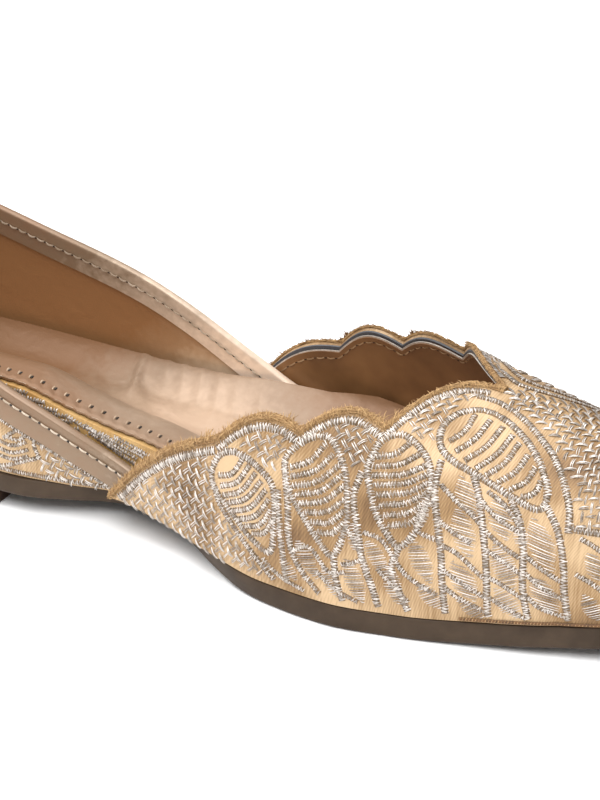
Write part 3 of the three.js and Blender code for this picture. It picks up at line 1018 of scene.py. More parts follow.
@dataclass
class Sock:
    """The leather sock laid on the footbed and pricked along its inner edge."""

    bed: Footbed
    thick: float = 1.0
    lift: float = 0.5
    inset: float = 0.8
    columns: int = 110
    slot_start: float = 2.5
    slot_pitch: float = 2.95
    slot_count: int = 32
    slot_row: float = 3.1  # from the cut edge to the row of slots
    edge_drop: float = 0.3  # how far the cut edge is skived down
    groove_deep: float = 0.32  # the leather's dip at each slot
    # soft ridges pressed into the leather: x, y of both ends, height, width
    creases: Sequence[tuple[float, float, float, float, float, float]] = (
        (60, 19, 72, 1, 0.75, 1.7),
        (55, 14, 66, -1, -0.35, 1.6),
        (66, 25, 70, 14, 0.45, 1.1),
        (70, 26, 75.5, 12, 0.4, 1.0),
        (75, 26, 81, 10, 0.5, 1.2),
        (80, 25, 87, 7, 0.45, 1.1),
        (85, 24, 91, 10, 0.35, 1.0),
        (48, 20, 56, 6, 0.3, 1.5),
        (60, 25, 64, 6, 1.0, 1.1),
        (92, 22, 99, 8, 0.5, 1.0),
    )

    def pull(self, x: Array, y: Array) -> Array:
        """Height of the pressed creases."""
        height = np.zeros(np.shape(x))
        for x0, y0, x1, y1, rise, width in self.creases:
            length = math.hypot(x1 - x0, y1 - y0)
            along = ((x - x0) * (x1 - x0) + (y - y0) * (y1 - y0)) / length**2
            aside = ((x - x0) * (y1 - y0) - (y - y0) * (x1 - x0)) / length
            fade = np.clip(np.sin(np.pi * np.clip(along, 0, 1)), 0, 1)
            height += rise * fade * np.exp(-((aside / width) ** 2))
        return height

    def edge(self, x: Array) -> Array:
        """Distance from the footbed's edge to the cut edge, drawn in between the slots."""
        wave = 0.5 - 0.5 * np.cos(2 * np.pi * (x - 1.0) / self.slot_pitch)
        return self.inset + 0.3 * wave * np.clip((x + 10) / 10, 0, 1) * np.clip((150 - x) / 20, 0, 1)

    def surface(self, u: Array, v: Array, height: Array | float) -> Array:
        """Points over the sock at a distance from its inner edge."""
        share = (self.inset + v) / np.maximum(self.bed.width(u), 1e-3)
        points = self.bed.place(u, share, self.lift + self.thick + height)
        points[..., 2] += self.pull(points[..., 0], points[..., 1])
        return points

    def build(self) -> None:
        """Build the sock, its slots and its cut edge."""
        x = self.bed.stations(LAST.heel_back + 2, LAST.toe_start)
        x = np.unique(np.concatenate([x[x < 20], np.arange(20, 120, 0.6), x[x > 120]]))
        width = self.bed.width(x)
        near = np.minimum(self.edge(x) / width, 0.5)
        far = np.maximum(1 - self.inset / width, 0.5)
        # closer columns along the inner edge, where the slots and the pulls are
        spread = np.concatenate([np.linspace(0, 0.2, 34)[:-1], np.linspace(0.2, 1, self.columns - 33)])
        share = near[:, None] + (far - near)[:, None] * spread[None, :]
        under = self.bed.place(x[:, None], share, self.lift)
        over = self.bed.place(x[:, None], share, self.lift + self.thick)
        over[..., 2] += self.pull(over[..., 0], over[..., 1])
        depth = (share - near[:, None]) * width[:, None]
        over[..., 2] -= self.edge_drop * np.exp(-((depth / 0.45) ** 2))
        slot = (x[:, None] - self.slot_start + 0.5 * (depth - self.slot_row)) / self.slot_pitch
        along = np.exp(-(((slot - np.round(slot)) * self.slot_pitch / 0.55) ** 2))
        groove = along * np.exp(-(((depth - self.slot_row + 1.4) / 1.5) ** 2))
        held = (x > -2) & (x < 98)
        over[..., 2] -= self.groove_deep * groove * held[:, None]
        made = shell("sock_leather_sheet", under, over, Finish.SOCK)
        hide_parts("sock")
        self.slots()

    def slots(self) -> None:
        """The slots, each with a lip raised on its near side, and the pale cut edge."""
        chart = Chart(self.surface)
        u = self.slot_start + self.slot_pitch * np.arange(self.slot_count)
        row = self.slot_row
        # the slots are dark marks of painted shade
        hole = ThreadWork(chart, 41)
        hole.lay(u + 0.3, row - 0.5, u + 0.42, row + 0.55, 0.08, 0.5, 0.02)
        hole.build("sock_slots", Finish.HOLE, ends=0.5)
        lip = ThreadWork(chart, 42)
        lip.lay(u - 0.12, row - 0.7, u, row + 0.75, 0.26, 0.48, -0.1)
        lip.build("sock_slot_lips", Finish.SOCK_LIP, ends=0.6)
        rim = ThreadWork(chart, 43)
        x = np.arange(-6, 120, 0.9)
        depth = self.edge(x) - self.inset + 0.1
        rim.lay(x[:-1], depth[:-1], x[1:] + 0.2, depth[1:], -0.42, 0.26, -0.42)
        rim.build("sock_cut_edge", Finish.SOCK_LIP, ends=1.0)


# ---------------------------------------------------------------- sole


@dataclass
class Sole:
    """The outsole and its heel block."""

    heel_margin: float = -1.2
    heel_breast: float = 50.0
    seat_margin: float = -0.4
    waist_tuck: float = 2.8
    front_step: float = 5.1
    side_cut: float = 1.2  # how far the foot of the side is cut back
    lip: float = 0.35  # rounding of the upper edge

    @staticmethod
    def ease(x: Array, start: float, reach: float) -> Array:
        """A soft step from 0 to 1, over a reach from its start."""
        t = np.clip((x - start) / reach, 0, 1)
        return t * t * (3 - 2 * t)

    def margin(self, x: Array) -> Array:
        """Overhang of the sole's edge: tucked under the upper in the waist, out in front."""
        tucked = self.seat_margin - self.waist_tuck * self.ease(x, 56, 24)
        return tucked + self.front_step * self.ease(x, 94, 26)

    def edge(self, x: Array, outer: bool, margin: Array, z: Array) -> Array:
        """Points on the sole's outline, moved out by a margin."""
        foot_x, foot_y, crown_x, crown_y = LAST.foot(x, np.full(x.shape, outer))
        along_x = np.where((x > LAST.toe_start) | (x < 0), foot_x - crown_x, 0.0)
        along_y = foot_y - crown_y
        length = np.maximum(np.hypot(along_x, along_y), 1e-6)
        reach = (length + margin) / length
        return np.stack([foot_x - along_x + along_x * reach, crown_y + along_y * reach, z], -1)

    def undercut(self, x: Array) -> Array:
        """How far the foot of the side is cut back, between the heel block and the ball."""
        return self.side_cut * (self.ease(x, 56, 22) - self.ease(x, 112, 24))

    def slab(
        self, name: str, x: Array, margin: Array, low: Array, high: Array, bevel: float, cut: Array,
        finish: Finish,
    ) -> bpy.types.Object:
        """A slab under the upper with rounded edges.

        Args:
            name: the piece's name.
            x: stations.
            margin: overhang at each station.
            low: height of the underside at each station.
            high: height of the top at each station.
            bevel: radius of the lower edge.
            cut: how far the foot of the side is cut back at each station.
            finish: its finish.

        Returns:
            The object.
        """
        sides = []
        for outer in (False, True):
            side = []
            for angle in np.radians(np.linspace(90, 0, 6)):
                inset, rise = bevel * (1 - math.cos(angle)), bevel * (1 - math.sin(angle))
                side.append(
                    self.edge(x, outer, margin - inset - cut * (1 - 0.15 * rise / bevel), low + rise)
                )
            side.append(self.edge(x, outer, margin - 0.42 * cut, (low + high) / 2))
            side.append(self.edge(x, outer, margin, high - self.lip))
            side.append(self.edge(x, outer, margin - 0.1, high - 0.1))
            side.append(self.edge(x, outer, margin - self.lip, high))
            sides.append(side[::-1] if outer else side)
        return ring_solid(name, np.stack(sides[0] + sides[1], 1), finish)

    def build(self, bed: Footbed) -> None:
        """Build the outsole and the heel block."""
        x = bed.stations(LAST.heel_back, LAST.toe_tip)
        tread = LAST.sizes.at("tread", x)
        made = self.slab(
            "outsole_unit", x, self.margin(x), tread, LAST.sole_top(x), 0.9, self.undercut(x), Finish.SOLE
        )
        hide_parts("outsole")
        x = bed.stations(LAST.heel_back, self.heel_breast)
        none = np.zeros(x.shape)
        seat = LAST.sizes.at("tread", x) - LAST.gap
        made = self.slab("heel_lift", x, none + self.heel_margin, none, seat, 0.6, none, Finish.HEEL)
        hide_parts("heel_block")


# ---------------------------------------------------------------- threads on a surface


class Chart:
    """A surface charted by two numbers, for laying threads on it."""

    def __init__(self, surface: Callable[[Array, Array, Array | float], Array]) -> None:
        """Take the surface.

        Args:
            surface: gives points in millimetres from two chart numbers and a height over it.
        """
        self.surface = surface

    def slopes(self, u: Array, v: Array) -> tuple[Array, Array, Array]:
        """Slopes along both chart ways, and the outward direction."""
        step = 0.15
        along_u = (self.surface(u + step, v, 0.0) - self.surface(u - step, v, 0.0)) / (2 * step)
        along_v = (self.surface(u, v + step, 0.0) - self.surface(u, v - step, 0.0)) / (2 * step)
        normal = np.cross(along_u, along_v)
        return along_u, along_v, unit(normal)

    def shift(self, u: Array, v: Array, move: Array) -> tuple[Array, Array]:
        """Chart numbers after small moves along the surface, in millimetres and x, y, z last."""
        a, b, _ = self.slopes(u, v)
        aa, bb, ab = (a * a).sum(-1), (b * b).sum(-1), (a * b).sum(-1)
        am, bm = (a * move).sum(-1), (b * move).sum(-1)
        size = np.maximum(aa * bb - ab * ab, 1e-6)
        return u + (am * bb - bm * ab) / size, v + (bm * aa - am * ab) / size


def wall_chart(offset: float, sign: int = 1, outer: bool = False) -> Chart:
    """The chart of one face of the wall.

    Args:
        offset: the face's distance from the last.
        sign: 1 where the face looks outwards, -1 where it looks inwards.
        outer: whether turns are counted from the outer feather edge.

    Returns:
        The chart.
    """

    def surface(u: Array, v: Array, height: Array | float) -> Array:
        """Points over the face."""
        return LAST.point(u, facing(outer, v), offset + sign * height)

    return Chart(surface)


def lengths(points: Array) -> Array:
    """Length along a line of points, up to each of them."""
    return np.concatenate([[0], np.cumsum(np.linalg.norm(np.diff(points, axis=0), axis=-1))])


class Line:
    """A line on a chart, followed by its length."""

    def __init__(self, chart: Chart, u: Array, v: Array) -> None:
        """Take the chart and the line's places on it, close together."""
        self.u, self.v = u, v
        self.arc = lengths(chart.surface(u, v, 0.0))
        self.long = self.arc[-1]

    def place(self, s: Array) -> tuple[Array, Array]:
        """Chart place at a length along the line."""
        return np.interp(s, self.arc, self.u), np.interp(s, self.arc, self.v)


def unit(ways: Array) -> Array:
    """The same directions, each 1 long."""
    return ways / np.maximum(np.linalg.norm(ways, axis=-1, keepdims=True), 1e-9)


def spline(path: Sequence[Sequence[float]], closed: bool = False, fine: int = 14) -> Array:
    """A smooth curve through a few points.

    Args:
        path: the points.
        closed: whether it returns to the first.
        fine: pieces between two points.

    Returns:
        Points close together on the curve.
    """
    p = np.array(path, float)
    before, after = (p[-1:], p[:2]) if closed else (2 * p[:1] - p[1:2], 2 * p[-1:] - p[-2:-1])
    p = np.concatenate([before, p, after])
    t = (np.arange(fine) / fine)[:, None]
    parts = []
    for a, b, c, d in zip(p, p[1:], p[2:], p[3:]):
        parts.append(b + 0.5 * t * (c - a + t * (2 * a - 5 * b + 4 * c - d + t * (3 * (b - c) + d - a))))
    return np.concatenate([*parts, p[-2][None]])


@dataclass
class ThreadWork:
    """Stitches laid on one chart, gathered and made into one mesh piece."""

    chart: Chart
    seed: int = 1
    satin_thread: float = 0.29  # widths of the threads
    leaflet_thread: float = 0.23
    net_thread: float = 0.3
    net_apart: float = 0.36  # between the threads of one bar of a net
    net_rise: float = 0.42
    stitches: list[Array] = field(default_factory=list)
    # dark strips under the stitches, painted shade for the gaps between them
    padding: list[Array] = field(default_factory=list)

    def __post_init__(self) -> None:
        """Seed the hand's small unevenness."""
        self.random = np.random.default_rng(self.seed)

    def lay(
        self, u0: Array, v0: Array, u1: Array, v1: Array, rise: Array | float, width: Array | float,
        sink: float = 0.0,
    ) -> None:
        """Lay straight stitches.

        Args:
            u0: first chart number where each goes in.
            v0: second chart number where each goes in.
            u1: first chart number where each comes out.
            v1: second chart number where each comes out.
            rise: height of each arch, in millimetres.
            width: width of the thread, in millimetres.
            sink: height of the ends.
        """
        u0 = np.atleast_1d(np.asarray(u0, float))
        rows = np.broadcast_arrays(u0, v0, u1, v1, rise, width, sink)
        self.stitches.append(np.stack(rows, -1).reshape(-1, 7))

    def pad(self, u: Array, v: Array, width: float) -> None:
        """Lay a flat dark strip along a line of the chart that stitches will cover: painted shade between
        them.
        """
        rows = np.broadcast_arrays(u[:-1], v[:-1], u[1:], v[1:], 0.09, width, 0.08)
        self.padding.append(np.stack(rows, -1).reshape(-1, 7))

    def satin_line(
        self, path: Sequence[Sequence[float]], width: float = 1.7, pitch: float = 0.36,
        closed: bool = False, slant: float = 0.17, rise: float = 0.34,
    ) -> None:
        """A zigzag satin stitch line along a curve of the chart.

        Args:
            path: a few points of its middle.
            width: how wide it is.
            pitch: from stitch to stitch.
            closed: whether it returns to its start.
            slant: how far each stitch leans, to and fro.
            rise: height of the padded middle.
        """
        fine = spline(path, closed)
        line = Line(self.chart, fine[:, 0], fine[:, 1])
        self.pad(*line.place(np.linspace(0, line.long, max(int(line.long / 1.2), 2))), 1.04 * width)
        count = max(int(line.long / pitch), 2)
        s = (np.arange(count) + 0.5) * line.long / count
        s = np.clip(s + self.random.normal(0, 0.05, count), 0, line.long)
        u, v = line.place(s)
        ahead = self.chart.surface(*line.place(s + 0.2), 0.0)
        along = unit(ahead - self.chart.surface(*line.place(s - 0.2), 0.0))
        across = np.cross(self.chart.slopes(u, v)[2], along)
        lean = slant * (1 - 2 * (np.arange(count) % 2))[:, None] + self.random.normal(0, 0.06, (count, 1))
        half = width / 2 * (1 + self.random.normal(0, 0.09, (count, 1)))
        other = width / 2 * (1 + self.random.normal(0, 0.09, (count, 1)))
        u0, v0 = self.chart.shift(u, v, -across * half - along * lean)
        u1, v1 = self.chart.shift(u, v, across * other + along * lean)
        rises = rise * (1 + self.random.normal(0, 0.12, count))
        self.lay(u0, v0, u1, v1, rises, self.satin_thread + self.random.uniform(-0.04, 0.04, count))

    def leaflet(
        self, u: float, v: float, length: float, width: float, tilt: float, thread: float,
        pitch: float = 0.58,
    ) -> None:
        """A pointed leaf filled with parallel threads.

        Args:
            u: first chart number of its middle.
            v: second chart number of its middle.
            length: from point to point.
            width: at its middle.
            tilt: direction of its length, in degrees from the u way towards the v way.
            thread: direction of its threads, likewise.
            pitch: from thread to thread.
        """
        a, b, _ = (part[0] for part in self.chart.slopes(np.array([u]), np.array([v])))
        a = a / np.linalg.norm(a)
        b = b - a * (a @ b)
        b = b / np.linalg.norm(b)
        lean = math.radians(thread - tilt)
        reach = 0.5 * (length * abs(math.sin(lean)) + width * abs(math.cos(lean)))
        rows = np.arange(-reach + 0.2, reach, pitch)
        fine = np.linspace(-0.5, 0.5, 61) * (length + width)
        ends = []
        for row in rows + self.random.normal(0, 0.05, len(rows)):
            x = fine * math.cos(lean) - row * math.sin(lean)
            y = fine * math.sin(lean) + row * math.cos(lean)
            share = np.clip(1 - (2 * x / length) ** 2, 0, 1)
            held = np.flatnonzero((np.abs(2 * x / length) < 1) & (np.abs(y) < 0.5 * width * share))
            if len(held) > 3:
                ends.append((x[held[0]], y[held[0]], x[held[-1]], y[held[-1]]))
        if not ends:
            return
        e = np.array(ends) * (1 + self.random.normal(0, 0.03, (len(ends), 4)))
        turn = math.radians(tilt)
        way = a * math.cos(turn) + b * math.sin(turn)
        side = b * math.cos(turn) - a * math.sin(turn)
        middle_u, middle_v = np.full(len(e), u), np.full(len(e), v)
        u0, v0 = self.chart.shift(middle_u, middle_v, e[:, :1] * way + e[:, 1:2] * side)
        u1, v1 = self.chart.shift(middle_u, middle_v, e[:, 2:3] * way + e[:, 3:4] * side)
        self.lay(u0, v0, u1, v1, 0.22, self.leaflet_thread + self.random.uniform(-0.03, 0.04, len(e)))

    def net(
        self, inside: Callable[[Array, Array], Array], scale: Callable[[Array], Array], turn: float,
        cell: float, strands: int = 2, middle: tuple[float, float] = (150, 30),
    ) -> None:
        """A plaited net of thread bars that pass over and under each other.

        Args:
            inside: says which chart places the net covers.
            scale: millimetres to one second chart number, at a first chart number.
            turn: direction of its first bars, in degrees.
            cell: side of its squares.
            strands: threads side by side in a bar.
            middle: a chart place that is one of its crossings.
        """
        reach = 70
        i, j = (part.ravel() for part in np.meshgrid(np.arange(-reach, reach), np.arange(-reach, reach)))
        angle = math.radians(turn)

        def place(p: Array, q: Array) -> tuple[Array, Array]:
            """Chart place of net coordinates."""
            u = middle[0] + cell * (p * math.cos(angle) - q * math.sin(angle))
            up = cell * (p * math.sin(angle) + q * math.cos(angle))
            w = middle[1] * scale(np.array([middle[0]]))[0] + up
            return u, w / scale(u)

        u, v = place(i, j)
        held = inside(u, v)
        i, j = i[held].astype(float), j[held].astype(float)
        over = (i + j) % 2 == 0
        count = len(i)
        for k in range(strands):
            aside = (k - (strands - 1) / 2) * self.net_apart / cell + self.random.normal(0, 0.03, count)
            half = 0.68 + self.random.normal(0, 0.05, count)
            wobble = self.random.normal(0, 0.035, count)
            u0, v0 = place(
                np.where(over, i - half, i + aside + wobble), np.where(over, j + aside + wobble, j - half)
            )
            u1, v1 = place(
                np.where(over, i + half, i + aside - wobble), np.where(over, j + aside - wobble, j + half)
            )
            rise = self.net_rise + self.random.normal(0, 0.04, count)
            width = self.net_thread + self.random.uniform(-0.05, 0.05, count)
            self.lay(u0, v0, u1, v1, rise, width, -0.06)

    def build(self, name: str, finish: Finish, ends: float = 0.6) -> None:
        """Make the gathered stitches, and the dark strips of painted shade under them, into meshes.

        Args:
            name: the piece's name.
            finish: the thread's finish.
            ends: width of a stitch's ends against its middle.
        """
        self.weave(name, finish, np.concatenate(self.stitches), 4, ends)
        if self.padding:
            self.weave(name + "_padding", Finish.UNDERLAY, np.concatenate(self.padding), 2, 1.0)

    def weave(self, name: str, finish: Finish, rows: Array, stations: int, ends: float) -> None:
        """Make stitches into one mesh.

        Args:
            name: the piece's name.
            finish: the thread's finish.
            rows: the stitches, as gathered.
            stations: points along a stitch.
            ends: width of a stitch's ends against its middle.
        """
        u0, v0, u1, v1, rise, width, sink = (rows[:, k, None] for k in range(7))
        s = np.linspace(0, 1, stations)[None, :]
        u, v = u0 + (u1 - u0) * s, v0 + (v1 - v0) * s
        height = sink + (rise - sink) * np.sin(np.pi * s) ** 0.7
        middle = self.chart.surface(u, v, height)
        normal = self.chart.slopes(u, v)[2]
        side = unit(np.cross(np.gradient(middle, axis=1), normal))
        wide = width * (ends + (1 - ends) * np.sin(np.pi * s))
        thick = np.minimum(wide, 0.5)
        section = [(-0.5, -0.3), (-0.34, 0.22), (0.34, 0.22), (0.5, -0.3)]
        lines = [
            middle + side * (wide * x)[..., None] + normal * (thick * z)[..., None] for x, z in section
        ]
        caps = np.array([[3, 2, 1, 0], [4 * stations - 4 + k for k in range(4)]])
        one = np.concatenate([grid_faces(stations, 4, wrap=True), caps])
        first = np.arange(len(rows)) * 4 * stations
        faces = (one[None] + first[:, None, None]).reshape(-1, 4)
        quick_piece(name, np.stack(lines, 2).reshape(-1, 3), faces, finish)


def quick_piece(name: str, points: Array, quads: Array, finish: Finish) -> bpy.types.Object:
    """A mesh piece of many quads, made without going through lists.

    Args:
        name: the piece's name.
        points: corners in millimetres.
        quads: corner numbers of the quads.
        finish: its finish.

    Returns:
        The object.
    """
    mesh = bpy.data.meshes.new(name)
    mesh.vertices.add(len(points))
    mesh.vertices.foreach_set("co", (points * MM).ravel())
    mesh.loops.add(quads.size)
    mesh.loops.foreach_set("vertex_index", quads.ravel())
    mesh.polygons.add(len(quads))
    mesh.polygons.foreach_set("loop_start", np.arange(len(quads)) * 4)
    mesh.update(calc_edges=True)
    return settle(mesh, finish, 80)


def side_name(outer: bool) -> str:
    """The side's name in a piece's name."""
    return "outer" if outer else "inner"


def within(outline: Sequence[tuple[float, float]]) -> Callable[[Array, Array], Array]:
    """A test for chart places inside an outline."""
    corners = np.array(outline, float)

    def test(u: Array, v: Array) -> Array:
        """Whether each place is inside, by counting crossings."""
        held = np.zeros(np.shape(u), bool)
        for (x0, y0), (x1, y1) in zip(corners, np.roll(corners, -1, 0)):
            if y0 != y1:
                held ^= ((y0 > v) != (y1 > v)) & (u < (x1 - x0) * (v - y0) / (y1 - y0) + x0)
        return held

    return test


# ---------------------------------------------------------------- embroidery of the vamp

Path = Sequence[tuple[float, float]]


@dataclass(frozen=True)
class Leaf:
    """An embroidered leaf on the chart of the last: a closed outline, and guides for its ribs."""

    outline: Path
    ribs: Sequence[tuple[float, float, float, float]]


@dataclass
class VampEmbroidery:
    """Silver thread over the vamp: scalloped border, leaves, stems, leaflets and nets."""

    vamp: Vamp
    ribs: int = 8
    leaves: Sequence[Leaf] = (
        Leaf(
            (
                (111, 20), (111.5, 26.5), (115, 30.5), (120, 31), (126, 28.5), (128, 24), (128.5, 17),
                (128, 9.5), (123, 11), (117, 15),
            ),
            (
                (112.5, 22.5, 118.5, 30.5), (114, 18.5, 122, 29), (116, 16, 125, 26.5),
                (119.5, 14, 127, 23), (123, 12.5, 128, 18.5),
            ),
        ),
        Leaf(
            (
                (129, 35.5), (133, 43.5), (138, 46.5), (142.5, 41), (145, 33.5), (146, 25), (144, 15),
                (140, 18), (136, 22.5), (131.5, 28),
            ),
            (
                (130.5, 34, 137.5, 45), (131.5, 30, 141.5, 41), (133.5, 26.5, 143.5, 37),
                (136, 23.5, 145, 31), (139.5, 20, 145.5, 25.5),
            ),
        ),
        Leaf(
            (
                (148, 46), (149, 52), (152.5, 56), (157, 54), (160.5, 49), (162, 42), (162, 34),
                (161, 27.5), (158, 22), (154.5, 26), (151.5, 31.5), (149.5, 37), (148, 42),
            ),
            (
                (148.5, 46.5, 155, 54.5), (149, 41.5, 160, 50), (150.5, 37, 162, 46),
                (152.5, 32, 162, 40.5), (155, 27.5, 162, 35),
            ),
        ),
        Leaf(
            (
                (161, 57), (160, 64), (162, 71), (166, 75.5), (171, 75), (176, 71), (180, 66), (183.5, 59),
                (186, 51), (185.5, 44), (180, 45.5), (175, 48), (170, 50.5), (164.5, 53),
            ),
            (
                (162.5, 59, 165, 72.5), (165.5, 55, 170, 72.5), (169.5, 52.5, 174, 70),
                (173, 50.5, 177, 66.5), (177, 48.5, 181, 61.5), (181, 46.5, 184, 55),
            ),
        ),
    )
    stems: Sequence[Path] = (
        ((163, 81), (168, 82), (174, 79), (179, 74), (184.5, 66.5), (188.5, 57), (191.5, 46), (192.5, 37)),
        ((111, 20), (113.5, 15.5), (118, 11.5), (124, 6.5), (129, 2)),
        ((128.5, 27), (130, 18), (131.5, 9), (132.5, 2.5)),
        ((129, 35), (131.5, 24), (133, 14), (136, 8), (141, 2.5)),
        ((144, 15), (145, 8), (146.5, 2)),
        ((147, 41), (146.5, 33), (148.5, 25), (150.5, 16), (153, 8), (154.5, 2)),
        ((158, 22), (157, 15), (159, 8), (161, 2)),
        ((162.5, 52), (163, 42), (165, 33), (167, 23), (168, 13), (169, 2.5)),
        ((170, 50), (172.5, 43), (175, 32), (177, 19), (178, 2.5)),
        ((179, 45), (182, 38), (184, 28), (185, 14), (186.5, 2.5)),
        ((186, 47), (190, 38), (192.5, 26), (193.5, 14), (194.5, 2.5)),
    )
    leaflets: Sequence[tuple[float, float, float, float, float, float]] = (
        # x, turn, length, width, tilt, threads
        (137.5, 11.5, 9, 4.0, -50, 20),
        (143.5, 7, 7, 3.2, -60, 25),
        (149.0, 9, 10, 4.2, -65, 10),
        (153.5, 17.5, 8, 3.6, -50, 20),
        (157.5, 10, 9, 3.8, -70, 10),
        (163.0, 19, 10, 4.4, -60, 12),
        (165.5, 8, 7, 3.8, -45, 25),
        (170.0, 42, 8.5, 4.4, -55, -10),
        (171.0, 30, 10, 4.8, -65, -6),
        (172.5, 14, 9, 4.8, -55, -12),
        (178.0, 37.5, 9, 4.8, -60, -8),
        (180.5, 21, 10, 5.0, -60, 24),
        (182.0, 8, 8, 4.4, -50, 26),
        (187.5, 31, 11, 5.2, -60, -14),
        (189.5, 12, 9, 5.0, -55, -16),
        (133.0, 6.5, 6, 3.0, -40, 30),
        (148.0, 22, 6, 2.8, -75, 15),
        (161.5, 34.5, 7, 3.0, -80, 8),
        (174.5, 4.5, 6, 3.2, -30, 30),
        (183.0, 32.5, 6, 3.0, -65, 10),
    )

    def chart(self, outer: bool) -> Chart:
        """The chart of one side; the outer side takes the inner side's plan, eased to its own scallops."""
        if not outer:
            return wall_chart(self.vamp.satin_out)
        inner_side, outer_side = self.vamp.inner_valleys, self.vamp.outer_valleys
        here = np.array([x for x, _, _ in inner_side] + [LAST.toe_tip])
        there = np.array([x for x, _, _ in outer_side] + [LAST.toe_tip])
        # how much lower each of the outer side's valleys is; the wing's tip and the toe are level
        lower = np.array(
            [b / a if a else 1.0 for (_, a, _), (_, b, _) in zip(inner_side, outer_side)] + [1.0]
        )

        def surface(u: Array, v: Array, height: Array | float) -> Array:
            """Points of the outer side."""
            turn = 180 - v * np.interp(u, here, lower)
            return LAST.point(np.interp(u, here, there), turn, self.vamp.satin_out + height)

        return Chart(surface)

    def degree(self, x: Array) -> Array:
        """Millimetres to a degree of turn, measured as far as the toe's tip."""
        return self.vamp.degree(x, LAST.toe_tip, 80)

    def below_edge(self, x: Array, distance: float) -> Array:
        """Turn at a distance below the inner side's cut edge."""
        return self.vamp.edge(False, x) - distance / self.degree(x)

    def border(self, work: ThreadWork) -> None:
        """The satin stitch border that follows the scallops."""
        rows = self.vamp.inner_valleys
        for (x0, _, _), (x1, _, _) in zip(rows, rows[1:]):
            x = np.linspace(x0 + (3.2 if x0 < 80 else 0.3), x1 - 0.3, 9)
            if x1 > 160:
                x = x[:-1]
            work.satin_line(list(zip(x, np.maximum(self.below_edge(x, 2.7), 0.8))), 2.0)

    def nets(self, work: ThreadWork) -> None:
        """The plaited nets by the wing, under the scallops and over the toe."""

        def under_border(u: Array, v: Array) -> Array:
            """Whether a place is clear of the border."""
            return v < self.below_edge(u, 3.9)

        wing = within(
            (
                (80, 0.5), (80, 40), (109.5, 40), (110, 20), (112.5, 14.5), (117, 10.5), (123, 5.5),
                (127.5, 0.8),
            )
        )
        low = within(
            (
                (109.5, 24), (110, 28), (114, 32.5), (120, 33), (
                    126.5, 30.5
                ), (128, 37), (132, 45.5), (138, 49),
                (143.5, 43), (146, 40), (146.5, 47), (148, 54), (
                    152.5, 58.5
                ), (158, 56.5), (159.3, 58), (158.3, 64),
                (160.5, 72.5), (162, 79), (166, 90), (150, 90), (100, 60), (100, 30),
            )
        )
        for area in (wing, low):
            work.net(lambda u, v, inside=area: inside(u, v) & under_border(u, v), self.degree, 45, 1.75)
        toe = within(
            (
                (168, 90.5), (169, 84), (175, 81), (180.5, 76), (186, 68.5), (190.5, 58), (
                    193.5, 46.5
                ), (195, 38),
                (206, 40), (216, 44), (224, 50), (230, 58), (231, 90.5),
            )
        )
        work.net(toe, self.degree, 2, 1.95)

    def ahead(self, work: ThreadWork) -> None:
        """The lower band's stems and leaflets, carried on round the toe."""
        foot = (194.5, 203.5, 212, 219.5, 226, 231.5)
        head = (192.5, 202.5, 212, 220, 226.5, 231.5)
        for x0, x1 in list(zip(foot, head))[1:]:
            work.satin_line([(x1, 38), (0.5 * (x0 + x1) + 0.3, 24), (x0 + 0.2, 12), (x0, 3)])
        work.satin_line(
            [(193, 39), (204, 40), (214, 43.5), (222, 49), (228, 57), (231, 68), (232, 80), (232.2, 89)]
        )
        for a, b in zip(foot, foot[1:]):
            middle = (a + b) / 2
            for v0, v1 in ((36, 29), (22, 14)):
                work.satin_line([(a + 0.8, v0), (middle, (v0 + v1) / 2 + 1), (b - 0.8, v1)], 1.2)
            for v, threads in ((26, -10), (9, 20)):
                work.leaflet(middle, v, 8, 4.2, -55, threads)

    def foot_cord(self, chart: Chart, name: str) -> None:
        """The brown cord where the satin meets the sole, from the ball round the toe, sewn over in gold."""
        u = np.linspace(172, 233, 90)
        cord = ThreadWork(chart, seed=31)
        cord.lay(u[:-1], 0.9, u[1:], 0.9, 0.3, 0.75, 0.28)
        cord.build(name + "_cord", Finish.FOOT_CORD, ends=1.0)
        over = ThreadWork(chart, seed=32)
        over.lay(u, 0.3, u + 0.35, 1.6, 0.5, 0.2)
        over.build(name + "_cord_stitches", Finish.RAW_EDGE)

    def cross_stems(self, work: ThreadWork) -> None:
        """The slanting lines between the stems of the lower band."""
        for path in (
            ((164, 44), (168, 40), (172, 36.5), (174.5, 33.5)),
            ((167, 25), (171, 22.5), (176.5, 16)),
            ((168.5, 11.5), (172, 8), (177.5, 4)),
            ((175.5, 32), (179, 28.5), (183.5, 25)),
            ((177, 16.5), (180, 15), (185, 10.5)),
            ((184, 27), (188, 22.5), (192.5, 18)),
            ((174, 45.5), (178, 42.5), (182.5, 36)),
            ((150, 24), (154.5, 22.5), (160, 14), (167, 8.5)),
            ((146, 24.5), (149.5, 18.5), (152, 13)),
            ((163.5, 39), (161, 29), (166.5, 26)),
            ((133.5, 12), (138, 15), (143, 10), (147, 11)),
            ((185.5, 12), (189, 7), (194, 4)),
            ((126, 7), (130, 4), (137, 1.8)),
            ((150.5, 16), (148, 14), (146, 13)),
            ((165, 33), (168.5, 30), (173, 27)),
            ((168, 17), (172, 13.5), (177.5, 9)),
            ((176, 26), (180, 23), (184.5, 19)),
            ((178, 9.5), (182, 6), (186, 2.5)),
            ((185, 20), (189, 15), (193.5, 11)),
            ((172, 43.5), (176.5, 38), (182.5, 34)),
            ((154, 14), (158, 9), (161, 5)),
            ((140, 9), (145, 5), (150, 2.5)),
        ):
            work.satin_line(path, 1.2)

